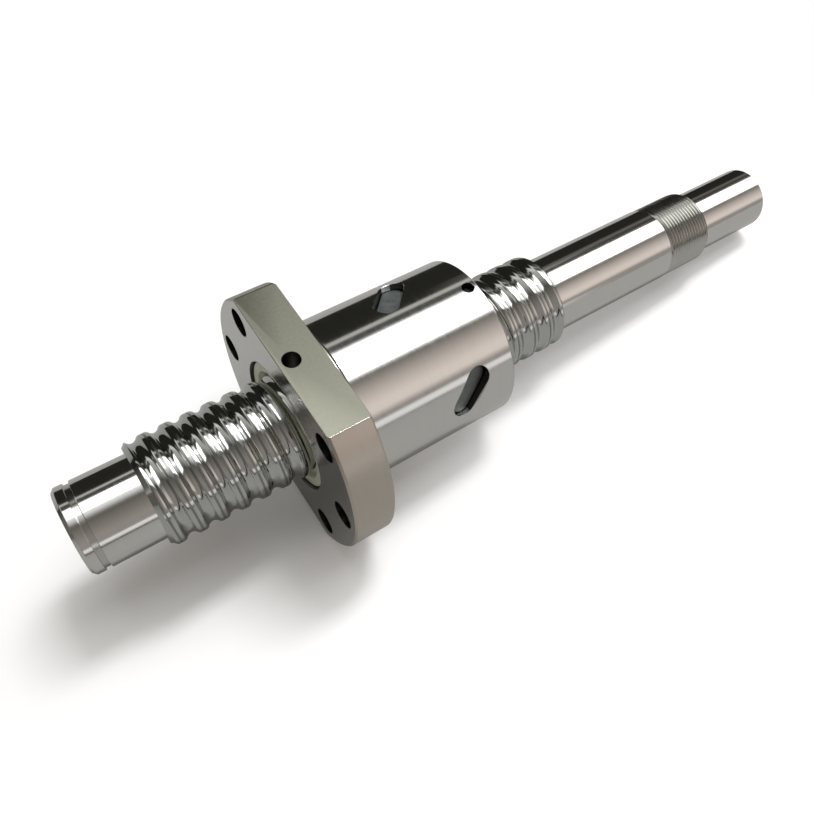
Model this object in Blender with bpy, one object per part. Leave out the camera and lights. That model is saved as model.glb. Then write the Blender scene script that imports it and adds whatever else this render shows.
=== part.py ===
"""Ball screw, 25 mm nominal with 5 mm lead: a ground shaft, and a flanged nut on it with four ball
circuits, their return caps, and a wiper at each end.

The screw axis is world X. The origin is on that axis, halfway along the shaft, and +Z is the normal
of the flange flat that carries the lubrication port. Lengths are in metres, angles in degrees.
An angle about the axis is counted from +Y towards +Z.
"""
import bpy
import bmesh
import numpy as np
from math import acos, asin, ceil, cos, pi, radians, sin, sqrt, tan

# Ball track, shared by the shaft, the nut, the caps and the wipers
LEAD = 0.005                      # right-handed, one start
SCREW_DIAMETER = 0.0246           # over the lands
BALL_DIAMETER = 0.003175
BALLS_ABOVE_LANDS = 0.0006        # ball centres over the lands, on radius
BALL_CIRCLE_DIAMETER = SCREW_DIAMETER + 2 * BALLS_ABOVE_LANDS
TRACK_CLEARANCE = 0.0002          # between a ball and the track it runs in
GOTHIC_OFFSET = 0.00015           # how far each arc centre of the pointed track lies off the ball's

# Shaft, from its near end to its far end
NEAR_SHOULDER = 0.0023            # lands to near journal, on radius
NEAR_JOURNAL_DIAMETER = SCREW_DIAMETER - 2 * NEAR_SHOULDER
NEAR_JOURNAL_LENGTH = 0.016
RING_GROOVE_WIDTH = 0.00135       # for a retaining ring
RING_GROOVE_DEPTH = 0.0005
RING_GROOVE_FROM_END = 0.00265
THREAD_LENGTH = 0.107
THREAD_END_CHAMFER = 0.0010
FAR_SHOULDER = 0.0023             # lands to far journal, on radius
FAR_JOURNAL_DIAMETER = SCREW_DIAMETER - 2 * FAR_SHOULDER
FAR_JOURNAL_LENGTH = 0.040
LOCKNUT_THREAD_STEP = 0.0001      # far journal to the crests of the fine thread, on radius
LOCKNUT_THREAD_DIAMETER = FAR_JOURNAL_DIAMETER - 2 * LOCKNUT_THREAD_STEP
LOCKNUT_THREAD_LENGTH = 0.0145    # M20 x 1
LOCKNUT_THREAD_PITCH = 0.001
THREAD_DEPTH_TO_PITCH = 0.6134    # of an external 60 degree thread
THREAD_CREST_TO_PITCH = 0.125     # flat left on its crests
DRIVE_SHOULDER = 0.0014           # fine thread to drive journal, on radius
DRIVE_JOURNAL_DIAMETER = LOCKNUT_THREAD_DIAMETER - 2 * DRIVE_SHOULDER
DRIVE_JOURNAL_LENGTH = 0.025
SHAFT_CHAMFER = 0.0008
CENTRE_HOLE_DIAMETER = 0.0050     # at its mouth in each end face, for grinding between centres
CENTRE_DRILL_DIAMETER = 0.0020
CENTRE_DRILL_DEPTH = 0.0030       # of the drilled point behind the cone
CENTRE_CONE_ANGLE = 60

# Wipers, one in a recess at each end of the nut
WIPER_SPACE = 0.0037              # lands to recess wall, on radius
WIPER_LENGTH = 0.0054
WIPER_CLEARANCE = 0.0003          # wiper to shaft, recess wall and recess floor
WIPER_SET_BACK = 0.0005           # wiper face behind the nut's end face
RECESS_DIAMETER = SCREW_DIAMETER + 2 * WIPER_SPACE
RECESS_DEPTH = WIPER_SET_BACK + WIPER_LENGTH + WIPER_CLEARANCE
RECESS_CHAMFER = 0.0003
SPRING_WIRE_DIAMETER = 0.0012     # garter spring round the wiper
SPRING_CLEARANCE = 0.0001         # each side of the spring in its groove, and below it
SPRING_GROOVE_WIDTH = SPRING_WIRE_DIAMETER + 2 * SPRING_CLEARANCE
SPRING_SINK = 0.0002              # spring below the wiper's outside
SPRING_GROOVE_DEPTH = SPRING_WIRE_DIAMETER + SPRING_CLEARANCE + SPRING_SINK
SPRING_LIP = 0.0003               # wall between the groove and the wiper's inner face
PIN_HOLE_DIAMETER = 0.0030        # holds the wiper in its recess
PIN_CLEARANCE = 0.0002
PIN_TO_GROOVE = 0.0001            # pin hole to spring groove
PIN_BITE = 0.0010                 # how deep the pin enters the wiper
PIN_BELOW_BODY = 0.0015           # pin head under the nut's outside
PIN_POINT_LENGTH = 0.0005

# Ball circuits and their return caps
CIRCUITS = 4
CAP_ANGLE = 156                   # of the cap nearest the nut's plain end
CAP_ANGLE_STEP = -90              # to the next cap towards the flange
CIRCUIT_WEB = 0.0001              # at least, between a cap's slot and the next circuit's track
CAP_SLOT_WIDTH = 0.006
CAP_SLOT_LENGTH = 0.0129          # over its round ends
CAP_SLANT = 49                    # slot's long axis to the screw axis
CAP_CLEARANCE = 0.00015
CAP_BELOW_BODY = 0.0022
CAP_EDGE_CHAMFER = 0.0003
CAP_BORE_GAP = 0.0001             # cap's hollow underside to the nut's lands
CAP_REACH = 0.0025                # how far slot and cap are drawn inside the bore before it cuts them
CROSSOVER_ANGLE = 17              # half the angle over which a ball crosses the land
CHANNEL_SPAN = 3                  # crossover angles each way that a cap's channel is cut for
BALL_TOUCH_RADIUS = 0.00035       # neighbouring balls of a full circuit are fused inside this

# Nut, from the flange's front face
NUT_FROM_THREAD_START = 0.033     # front face behind the start of the track, at rest
NUT_BORE_CLEARANCE = 0.0004       # lands of the shaft to lands of the nut, on radius
RECESS_WALL = 0.004
NUT_DIAMETER = RECESS_DIAMETER + 2 * RECESS_WALL
FLANGE_REACH = 0.011              # body to rim, on radius
FLANGE_DIAMETER = NUT_DIAMETER + 2 * FLANGE_REACH
FLANGE_THICKNESS = 0.010
FLAT_ABOVE_BODY = 0.004           # body to the flange's two flats
FLANGE_ACROSS_FLATS = NUT_DIAMETER + 2 * FLAT_ABOVE_BODY
FLANGE_TO_SLOT = 0.00452          # along the body, to the end of the first cap slot
SLOT_TO_RECESS = 0.0010           # along the body, from the end of the last cap slot
EDGE_CHAMFER = 0.0005
UNDERCUT_WIDTH = 0.0018           # grinding relief behind the flange
UNDERCUT_DEPTH = 0.0003
BOLT_CIRCLE_DIAMETER = NUT_DIAMETER + FLANGE_REACH
BOLT_HOLE_DIAMETER = 0.0066
BOLT_HOLE_CHAMFER = 0.0002
BOLT_ANGLES = (-45, 0, 45, 135, 180, 225)
PORT_DIAMETER = 0.0040            # lubrication port in the upper flat
PORT_FROM_FRONT = 0.0031

# Facets
STEPS_PER_TURN = 20               # in one turn of a helix
COLUMN_PHASE = 0.25               # of a facet, so a helix's columns miss the edges of turned blanks
ARC_STEPS = 2                     # on each half of the pointed track
ROUND_STEPS = 40                  # round a large turned surface
HOLE_STEPS = 16                   # round a small hole
SLOT_END_STEPS = 6                # round one end of a cap slot
CHANNEL_SIDES = 10                # round the channel in a cap
CHANNEL_STEPS = 24                # along it
BALL_BAND = 0.42                  # latitude, in radians, of the two rings that form a ball
BALL_SIDES = 5                    # a coarse ball, which is hidden in the track
WIRE_SIDES = 5
LOOP_STEPS = 720                  # along a ball circuit, to measure its length
SHARP_ANGLE = 32                  # between faces, from which an edge is shaded sharp
CUT_MARGIN = 0.001                # how far a cutter reaches past what it cuts

screw_radius = SCREW_DIAMETER / 2
ball_radius = BALL_DIAMETER / 2
ball_circle_radius = BALL_CIRCLE_DIAMETER / 2
track_radius = ball_radius + TRACK_CLEARANCE
gothic_radius = track_radius + GOTHIC_OFFSET * sqrt(2)
nut_bore_radius = screw_radius + NUT_BORE_CLEARANCE
nut_radius = NUT_DIAMETER / 2
recess_radius = RECESS_DIAMETER / 2
wiper_radius = recess_radius - WIPER_CLEARANCE
spring_groove_radius = wiper_radius - SPRING_GROOVE_DEPTH

slot_half_reach = (CAP_SLOT_WIDTH + (CAP_SLOT_LENGTH - CAP_SLOT_WIDTH) * cos(radians(CAP_SLANT))) / 2
whole_turns_apart = ceil((slot_half_reach + track_radius + CIRCUIT_WEB) / LEAD - 0.5)
cap_step = LEAD * (whole_turns_apart - CAP_ANGLE_STEP / 360)
first_cap_x = FLANGE_THICKNESS + FLANGE_TO_SLOT + slot_half_reach
last_cap_x = first_cap_x + (CIRCUITS - 1) * cap_step
nut_length = last_cap_x + slot_half_reach + SLOT_TO_RECESS + RECESS_DEPTH
spring_from_inner_face = SPRING_LIP + SPRING_GROOVE_WIDTH / 2
pin_from_end = (WIPER_SET_BACK + WIPER_LENGTH - SPRING_LIP - SPRING_GROOVE_WIDTH
                - PIN_TO_GROOVE - PIN_HOLE_DIAMETER / 2)

shaft_length = (NEAR_JOURNAL_LENGTH + THREAD_LENGTH + FAR_JOURNAL_LENGTH
                + LOCKNUT_THREAD_LENGTH + DRIVE_JOURNAL_LENGTH)
near_end_x = -shaft_length / 2
thread_start_x = near_end_x + NEAR_JOURNAL_LENGTH
thread_end_x = thread_start_x + THREAD_LENGTH
nut_front_x = thread_start_x + NUT_FROM_THREAD_START


def cap_place(circuit):
    """Distance of a cap's centre behind the nut's front face, and its angle about the axis."""
    return last_cap_x - circuit * cap_step, CAP_ANGLE + circuit * CAP_ANGLE_STEP


def track_x(angle):
    """Place of the track's centre behind the nut's front face: a land is centred on each cap."""
    return last_cap_x + LEAD * (angle - CAP_ANGLE) / 360 + LEAD / 2


def around(x, radius, angle):
    """World point at a distance along the axis, at a radius and an angle in degrees."""
    return (x, radius * cos(radians(angle)), radius * sin(radians(angle)))


def clear_scene():
    """Remove every object that the file opened with."""
    for item in list(bpy.data.objects):
        bpy.data.objects.remove(item, do_unlink=True)


def make_material(name, colour, metallic, roughness):
    """A plain Principled surface in one linear colour."""
    material = bpy.data.materials.new(name)
    material.use_nodes = True
    shader = material.node_tree.nodes["Principled BSDF"]
    shader.inputs["Base Color"].default_value = (*colour, 1.0)
    shader.inputs["Metallic"].default_value = metallic
    shader.inputs["Roughness"].default_value = roughness
    material.diffuse_color = (*colour, 1.0)
    return material


def solid(name, mesh_builder, material=None):
    """Turn a filled bmesh into an object whose faces all point outwards."""
    bmesh.ops.recalc_face_normals(mesh_builder, faces=mesh_builder.faces)
    mesh = bpy.data.meshes.new(name)
    mesh_builder.to_mesh(mesh)
    mesh_builder.free()
    item = bpy.data.objects.new(name, mesh)
    bpy.context.scene.collection.objects.link(item)
    if material:
        mesh.materials.append(material)
    return item


def skin(builder, rings, closed=False):
    """Join rings of points or vertices into a tube of quads, shut by end faces or on itself.

    A ring with fewer points than its neighbour, down to a single pole, takes triangles.
    """
    rows = [[item if isinstance(item, bmesh.types.BMVert) else builder.verts.new(item)
             for item in ring] for ring in rings]
    pairs = list(zip(rows, rows[1:]))
    if closed:
        pairs.append((rows[-1], rows[0]))
    for lower, upper in pairs:
        count = max(len(lower), len(upper))
        for i in range(count):
            below = [lower[k * len(lower) // count % len(lower)] for k in (i, i + 1)]
            above = [upper[k * len(upper) // count % len(upper)] for k in (i + 1, i)]
            builder.faces.new(list(dict.fromkeys(below + above)))
    return rows


def cover(builder, rows):
    """Close the two ends of an open skin with flat faces."""
    for row in (rows[0], rows[-1]):
        if len(row) > 2:
            builder.faces.new(row)


def lofted(name, rings, material=None, closed=False):
    """One closed body skinned over rings of points."""
    builder = bmesh.new()
    rows = skin(builder, rings, closed)
    if not closed:
        cover(builder, rows)
    return solid(name, builder, material)


def ring_points(x, radius, steps, phase=0.0):
    """Points round the axis, or the single point on it."""
    count = steps if radius > 0 else 1
    return [around(x, radius, 360 * (i + phase) / steps) for i in range(count)]


def turned(name, outline, steps, material=None, closed=False, phase=0.0):
    """Turn an outline of (x, radius) points about the X axis; a closed outline makes a ring."""
    rings = [ring_points(x, radius, steps, phase) for x, radius in outline]
    return lofted(name, rings, material, closed)


def combine(target, cutter, operation="DIFFERENCE"):
    """Apply an exact Boolean to the target and remove the cutter."""
    modifier = target.modifiers.new(operation, "BOOLEAN")
    modifier.operation = operation
    modifier.solver = "EXACT"
    modifier.object = cutter
    bpy.context.view_layer.update()
    evaluated = target.evaluated_get(bpy.context.evaluated_depsgraph_get())
    mesh = bpy.data.meshes.new_from_object(evaluated)
    target.modifiers.clear()
    target.data = mesh
    bpy.data.objects.remove(cutter, do_unlink=True)


def arc_angles(start, end, steps):
    """Angles of the corners of a polygon drawn round an arc, and how far out they lie."""
    half = (end - start) / steps / 2
    middle = [start + half * (2 * i + 1) for i in range(steps)]
    corners = [start] + [angle + half for angle in middle[:-1]] + [end]
    return corners, 1 / cos(half)


def gothic_section(edge_radius, outward, gap):
    """Half outline of the pointed track as (offset along x, radius), from its apex to its edge.

    The arc's centre lies off the ball centre, so that the arc comes closest to the ball at 45
    degrees. The outline is drawn outward for the nut's track and inward for the shaft's, ends
    at the lands' edge radius, and shrinks by gap.
    """
    side = 1 if outward else -1
    centre = ball_circle_radius - side * GOTHIC_OFFSET
    radius = gothic_radius - gap
    start = asin(GOTHIC_OFFSET / radius)
    end = acos(side * (edge_radius - centre) / radius)
    corners, spread = arc_angles(start, end, ARC_STEPS)
    points = []
    for i, angle in enumerate(corners):
        reach = radius * (1 if i in (0, ARC_STEPS) else spread)
        points.append((reach * sin(angle) - GOTHIC_OFFSET, centre + side * reach * cos(angle)))
    points[0] = (0.0, points[0][1])
    return points


def track_section(edge_radius, outward=False, gap=0.0):
    """Outline of one lead as (offset along x, radius): the pointed track, with the land between."""
    half = gothic_section(edge_radius, outward, gap)
    if outward:
        half = [(offset, radius / cos(pi / STEPS_PER_TURN)) for offset, radius in half[:-1]] + half[-1:]
    return [(-offset, radius) for offset, radius in half[:0:-1]] + half


def locknut_thread_section():
    """Outline of one pitch of the fine thread as (offset along x, radius): a root, then a crest."""
    crest = LOCKNUT_THREAD_DIAMETER / 2
    root = crest - THREAD_DEPTH_TO_PITCH * LOCKNUT_THREAD_PITCH
    half_flat = THREAD_CREST_TO_PITCH * LOCKNUT_THREAD_PITCH / 2
    half_pitch = LOCKNUT_THREAD_PITCH / 2
    return [(0.0, root), (half_pitch - half_flat, crest), (half_pitch + half_flat, crest)]


def helical_wall(builder, section, first_x, last_x, zero_x, lead=LEAD):
    """Surface of a threaded cylinder between two planes across the axis.

    zero_x is where the section's zero lies at angle 0. Each column of points is the outline of
    many leads at one angle. A point and its match in the next column lie one step further along
    the same helix, so columns join point by point, and where an end plane cuts the helix one face
    takes in the points that have no match. A helical face isn't flat, so all are split into
    triangles. Returns the rows of vertices in the two planes.
    """
    size, margin = len(section), lead / 1000
    low = int(np.floor((first_x - zero_x) / lead)) - 2
    high = int(np.ceil((last_x - zero_x) / lead)) + 2
    turns = np.repeat(np.arange(low, high), size)
    offsets = np.tile([offset for offset, radius in section], high - low)
    radii = np.tile([radius for offset, radius in section], high - low)
    keys = np.arange(low * size, high * size)
    columns = []
    for i in range(STEPS_PER_TURN):
        angle = 360 * (i + COLUMN_PHASE) / STEPS_PER_TURN
        xs = zero_x + lead * (angle / 360 + turns) + offsets
        inside = (xs > first_x + margin) & (xs < last_x - margin)
        points = {int(key): builder.verts.new(around(x, radius, angle))
                  for key, x, radius in zip(keys[inside], xs[inside], radii[inside])}
        ends = [builder.verts.new(around(x, float(np.interp(x, xs, radii)), angle))
                for x in (first_x, last_x)]
        columns.append((points, ends))
    points, ends = columns[0]
    columns.append(({key - size: vert for key, vert in points.items()}, ends))
    faces = []
    for (here, here_ends), (there, there_ends) in zip(columns, columns[1:]):
        common = sorted(set(here) & set(there))
        for key in common[:-1]:
            faces.append(builder.faces.new((here[key], here[key + 1], there[key + 1], there[key])))
        for end, last in ((0, common[0]), (1, common[-1])):
            sign = 1 if end else -1
            loose = [sorted((key for key in column if sign * key > sign * last),
                            key=lambda key: sign * key) for column in (here, there)]
            outline = [here[last]] + [here[key] for key in loose[0]] + [here_ends[end]]
            outline += [there_ends[end]] + [there[key] for key in loose[1][::-1]] + [there[last]]
            faces.append(builder.faces.new(outline))
    bmesh.ops.triangulate(builder, faces=faces)
    return ([ends[0] for points, ends in columns[:-1]], [ends[1] for points, ends in columns[:-1]])


def track_form(name, section, first_x, last_x):
    """Closed threaded plug between two planes, to cut a threaded bore with."""
    builder = bmesh.new()
    cover(builder, helical_wall(builder, section, first_x, last_x, track_x(0)))
    return solid(name, builder)


def end_chamfer_cutter(x, inward):
    """Ring outside the 45 degree chamfer at one end of the ball track."""
    away = CUT_MARGIN
    low, high = screw_radius - THREAD_END_CHAMFER - away, screw_radius + away
    outline = [(x - inward * away, low), (x + inward * (THREAD_END_CHAMFER + away), high),
               (x - inward * away, high)]
    return turned("end_chamfer", outline, STEPS_PER_TURN, closed=True, phase=COLUMN_PHASE + 0.5)


def centre_hole(x, inward):
    """Outline of the centre hole in an end face, from the tip of its drilled point to its mouth."""
    mouth, drill = CENTRE_HOLE_DIAMETER / 2, CENTRE_DRILL_DIAMETER / 2
    cone = (mouth - drill) / tan(radians(CENTRE_CONE_ANGLE / 2))
    return [(x + inward * (cone + CENTRE_DRILL_DEPTH), 0), (x + inward * cone, drill), (x, mouth)]


def make_shaft(material):
    """Shaft: journals turned in one skin with the ball track and the lock-nut thread."""
    near, far = NEAR_JOURNAL_DIAMETER / 2, FAR_JOURNAL_DIAMETER / 2
    fine, drive = LOCKNUT_THREAD_DIAMETER / 2, DRIVE_JOURNAL_DIAMETER / 2
    ring_x = near_end_x + RING_GROOVE_FROM_END
    fine_x = thread_end_x + FAR_JOURNAL_LENGTH
    drive_x = fine_x + LOCKNUT_THREAD_LENGTH
    end_x = drive_x + DRIVE_JOURNAL_LENGTH
    near_outline = centre_hole(near_end_x, 1) + [
        (near_end_x, near - SHAFT_CHAMFER),
        (near_end_x + SHAFT_CHAMFER, near),
        (ring_x, near),
        (ring_x, near - RING_GROOVE_DEPTH),
        (ring_x + RING_GROOVE_WIDTH, near - RING_GROOVE_DEPTH),
        (ring_x + RING_GROOVE_WIDTH, near),
        (thread_start_x, near),
    ]
    far_outline = [
        (thread_end_x, far),
        (fine_x - EDGE_CHAMFER, far),
        (fine_x, fine - SHAFT_CHAMFER),
    ]
    drive_outline = [
        (drive_x, fine - SHAFT_CHAMFER),
        (drive_x, drive),
        (end_x - SHAFT_CHAMFER, drive),
        (end_x, drive - SHAFT_CHAMFER),
    ] + centre_hole(end_x, -1)[::-1]
    builder = bmesh.new()
    track_start, track_end = helical_wall(builder, track_section(screw_radius), thread_start_x,
                                          thread_end_x, nut_front_x + track_x(0))
    fine_start, fine_end = helical_wall(builder, locknut_thread_section(), fine_x + EDGE_CHAMFER,
                                        drive_x - SHAFT_CHAMFER, fine_x, LOCKNUT_THREAD_PITCH)
    phase = COLUMN_PHASE * ROUND_STEPS / STEPS_PER_TURN
    near_rings, far_rings, drive_rings = [
        [ring_points(x, radius, ROUND_STEPS, phase) for x, radius in outline]
        for outline in (near_outline, far_outline, drive_outline)]
    skin(builder, near_rings + [track_start])
    skin(builder, [track_end] + far_rings + [fine_start])
    skin(builder, [fine_end] + drive_rings)
    shaft = solid("screw_shaft", builder, material)
    combine(shaft, end_chamfer_cutter(thread_start_x, 1))
    combine(shaft, end_chamfer_cutter(thread_end_x, -1))
    return shaft


def radial_rings(sections, x, angle):
    """Rings of a body that stands on the axis: each section is (radius, plane points)."""
    along = np.array(around(0, 1, angle))
    across = np.array(around(0, 1, angle + 90))
    base = np.array((x, 0, 0))
    return [[tuple(base + u * np.array((1, 0, 0)) + v * across + radius * along)
             for u, v in points] for radius, points in sections]


def circle_points(radius, steps):
    """Plane polygon drawn round a circle."""
    turns = [2 * pi * (i + 0.5) / steps for i in range(steps)]
    return [(radius * cos(turn), radius * sin(turn)) for turn in turns]


def obround_points(width, length):
    """Plane outline of a slot with round ends, slanted against the screw axis.

    The long axis falls towards the flange as the angle about the screw axis grows.
    """
    half_width, straight = width / 2, (length - width) / 2
    steps = SLOT_END_STEPS
    points = []
    for side in (1, -1):
        for i in range(steps + 1):
            turn = pi * (i / steps - 0.5)
            points.append((side * (straight + half_width * cos(turn)), side * half_width * sin(turn)))
    slant = -radians(CAP_SLANT)
    return [(u * cos(slant) - v * sin(slant), u * sin(slant) + v * cos(slant)) for u, v in points]


def bolt_hole_cutter(angle):
    """Through hole of the flange with a small chamfer at both mouths."""
    radius, chamfer = BOLT_HOLE_DIAMETER / 2, BOLT_HOLE_CHAMFER
    centre = around(0, BOLT_CIRCLE_DIAMETER / 2, angle)
    outline = [(-CUT_MARGIN, radius + chamfer), (0, radius + chamfer), (chamfer, radius),
               (FLANGE_THICKNESS - chamfer, radius), (FLANGE_THICKNESS, radius + chamfer),
               (FLANGE_THICKNESS + CUT_MARGIN, radius + chamfer)]
    rings = [[(x, centre[1] + u, centre[2] + v) for u, v in circle_points(r, HOLE_STEPS)]
             for x, r in outline]
    return lofted("bolt_hole", rings)


def flat_cutter(side):
    """Block outside one of the flange's two flats."""
    reach = FLANGE_DIAMETER
    low = side * FLANGE_ACROSS_FLATS / 2
    high = side * reach
    rings = [[(x, -reach, low), (x, reach, low), (x, reach, high), (x, -reach, high)]
             for x in (-CUT_MARGIN, FLANGE_THICKNESS + CUT_MARGIN)]
    return lofted("flat", rings)


def wiper_inner_x(rear):
    """Inner face of the front or rear wiper, behind the nut's front face."""
    inner = WIPER_SET_BACK + WIPER_LENGTH
    return nut_length - inner if rear else inner


def make_nut(material):
    """Nut: turned flange and body, flats, bolt holes, port, pin holes, cap slots and ball track."""
    flange, recess = FLANGE_DIAMETER / 2, recess_radius
    thick, chamfer = FLANGE_THICKNESS, EDGE_CHAMFER
    relief = nut_radius - UNDERCUT_DEPTH
    outline = [
        (RECESS_DEPTH, 0),
        (RECESS_DEPTH, recess),
        (RECESS_CHAMFER, recess),
        (0, recess + RECESS_CHAMFER),
        (0, flange - chamfer),
        (chamfer, flange),
        (thick - chamfer, flange),
        (thick, flange - chamfer),
        (thick, relief),
        (thick + UNDERCUT_WIDTH, relief),
        (thick + UNDERCUT_WIDTH + UNDERCUT_DEPTH, nut_radius),
        (nut_length - chamfer, nut_radius),
        (nut_length, nut_radius - chamfer),
        (nut_length, recess + RECESS_CHAMFER),
        (nut_length - RECESS_CHAMFER, recess),
        (nut_length - RECESS_DEPTH, recess),
        (nut_length - RECESS_DEPTH, 0),
    ]
    nut = turned("nut_body", outline, ROUND_STEPS, material)
    combine(nut, track_form("nut_track", track_section(nut_bore_radius, outward=True),
                            RECESS_DEPTH - CUT_MARGIN, nut_length - RECESS_DEPTH + CUT_MARGIN))
    slot = obround_points(CAP_SLOT_WIDTH, CAP_SLOT_LENGTH)
    for circuit in range(CIRCUITS):
        x, angle = cap_place(circuit)
        sections = [(nut_bore_radius - CAP_REACH, slot), (nut_radius + CUT_MARGIN, slot)]
        combine(nut, lofted("cap_slot", radial_rings(sections, x, angle)))
    for side in (1, -1):
        combine(nut, flat_cutter(side))
    for angle in BOLT_ANGLES:
        combine(nut, bolt_hole_cutter(angle))
    port = circle_points(PORT_DIAMETER / 2, HOLE_STEPS)
    sections = [(recess - CUT_MARGIN, port), (flange, port)]
    combine(nut, lofted("port", radial_rings(sections, PORT_FROM_FRONT, 90)))
    hole = circle_points(PIN_HOLE_DIAMETER / 2, HOLE_STEPS)
    sections = [(recess - CUT_MARGIN, hole), (flange, hole)]
    for x, angle in (pin_place(False), pin_place(True)):
        combine(nut, lofted("pin_hole", radial_rings(sections, x, angle)))
    return nut


def pin_place(rear):
    """Place and angle of the hole for a wiper's pin: below in the flange, on top at the plain end."""
    return (nut_length - pin_from_end, 90) if rear else (pin_from_end, 270)


def make_wiper(name, rear, material):
    """Wiper ring whose bore carries the track's own form, with a groove for its garter spring."""
    inner_x = wiper_inner_x(rear)
    back = -1 if rear else 1
    outer_x = inner_x - back * WIPER_LENGTH
    spring_x = inner_x - back * spring_from_inner_face
    half_groove = SPRING_GROOVE_WIDTH / 2
    outer, groove = wiper_radius, spring_groove_radius
    outline = [
        (outer_x, 0),
        (outer_x, outer),
        (spring_x - back * half_groove, outer),
        (spring_x - back * half_groove, groove),
        (spring_x + back * half_groove, groove),
        (spring_x + back * half_groove, outer),
        (inner_x, outer),
        (inner_x, 0),
    ]
    wiper = turned(name, outline, ROUND_STEPS, material)
    x, angle = pin_place(rear)
    pocket = circle_points(PIN_HOLE_DIAMETER / 2, HOLE_STEPS)
    sections = [(outer - PIN_BITE - PIN_CLEARANCE, pocket), (outer + CUT_MARGIN, pocket)]
    combine(wiper, lofted("pocket", radial_rings(sections, x, angle)))
    low, high = min(inner_x, outer_x) - CUT_MARGIN, max(inner_x, outer_x) + CUT_MARGIN
    section = track_section(screw_radius + WIPER_CLEARANCE, gap=WIPER_CLEARANCE)
    combine(wiper, track_form("wiper_bore", section, low, high))
    return wiper


def make_spring(name, rear, material):
    """Garter spring as a plain ring in the wiper's groove."""
    back = -1 if rear else 1
    x = wiper_inner_x(rear) - back * spring_from_inner_face
    wire = SPRING_WIRE_DIAMETER / 2
    ring = spring_groove_radius + SPRING_CLEARANCE + wire
    outline = [(x + u, ring + v) for u, v in circle_points(wire, WIRE_SIDES)]
    return turned(name, outline, ROUND_STEPS, material, closed=True)


def make_pin(name, rear, material):
    """Pin that holds a wiper: it stands in its hole with its point in the wiper."""
    x, angle = pin_place(rear)
    radius = PIN_HOLE_DIAMETER / 2 - PIN_CLEARANCE
    point = wiper_radius - PIN_BITE
    head = nut_radius - PIN_BELOW_BODY
    full, tip = circle_points(radius, HOLE_STEPS), circle_points(radius / 2, HOLE_STEPS)
    sections = [(point, tip), (point + PIN_POINT_LENGTH, full), (head, full)]
    return lofted(name, radial_rings(sections, x, angle), material)


def climb(offset):
    """Ball centre's radius when it is off the track's centre line by an offset along the axis.

    The ball rolls over the edge of the land at a constant distance from it, then along its top.
    """
    edge = gothic_section(screw_radius, False, 0.0)[-1][0]
    lateral = max(0.0, edge - offset)
    return max(ball_circle_radius, screw_radius + sqrt(max(0.0, track_radius ** 2 - lateral ** 2)))


def loop_point(circuit, turn):
    """Ball centre on a circuit, where turn runs from -180 to 180 degrees with the cap at 0.

    Outside the crossover the ball follows the track. Across it a smooth step takes it back by one
    lead, over the land, so the loop closes on itself.
    """
    x, angle = cap_place(circuit)
    share = min(1.0, max(0.0, (turn / CROSSOVER_ANGLE + 1) / 2))
    step = share ** 3 * (10 - 15 * share + 6 * share ** 2)
    offset = LEAD * min(step, 1 - step)
    return np.array(around(x + LEAD * turn / 360 + LEAD * (0.5 - step), climb(offset), angle + turn))


def make_cap(circuit, material):
    """Return cap: a slanted obround block, hollow to the bore, with the ball's crossover channel."""
    x, angle = cap_place(circuit)
    body = obround_points(CAP_SLOT_WIDTH - 2 * CAP_CLEARANCE, CAP_SLOT_LENGTH - 2 * CAP_CLEARANCE)
    inset = 2 * (CAP_CLEARANCE + CAP_EDGE_CHAMFER)
    face = obround_points(CAP_SLOT_WIDTH - inset, CAP_SLOT_LENGTH - inset)
    top = nut_radius - CAP_BELOW_BODY
    sections = [(nut_bore_radius - CAP_REACH, body), (top - CAP_EDGE_CHAMFER, body), (top, face)]
    cap = lofted("return_cap_%d" % (circuit + 1), radial_rings(sections, x, angle), material)
    hollow = nut_bore_radius + CAP_BORE_GAP
    low, high = x - CAP_SLOT_LENGTH, x + CAP_SLOT_LENGTH
    combine(cap, turned("hollow", [(low, 0), (low, hollow), (high, hollow), (high, 0)], ROUND_STEPS))
    turns = np.linspace(-CHANNEL_SPAN, CHANNEL_SPAN, CHANNEL_STEPS + 1) * CROSSOVER_ANGLE
    path = np.array([loop_point(circuit, turn) for turn in turns])
    reach = track_radius / cos(pi / CHANNEL_SIDES)
    ends = np.vstack([2 * path[0] - path[1], path, 2 * path[-1] - path[-2]])
    rings = [ring_across(centre, after - before, reach, CHANNEL_SIDES)
             for before, centre, after in zip(ends, path, ends[2:])]
    combine(cap, lofted("channel", rings))
    return cap


def ring_across(centre, ahead, reach, sides):
    """Ring of points round a path's point, in the plane across its direction there."""
    ahead = ahead / np.linalg.norm(ahead)
    out = np.array((0.0, centre[1], centre[2]))
    out -= ahead * np.dot(out, ahead)
    out /= np.linalg.norm(out)
    side = np.cross(ahead, out)
    return [tuple(centre + u * side + v * out) for u, v in circle_points(reach, sides)]


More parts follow.
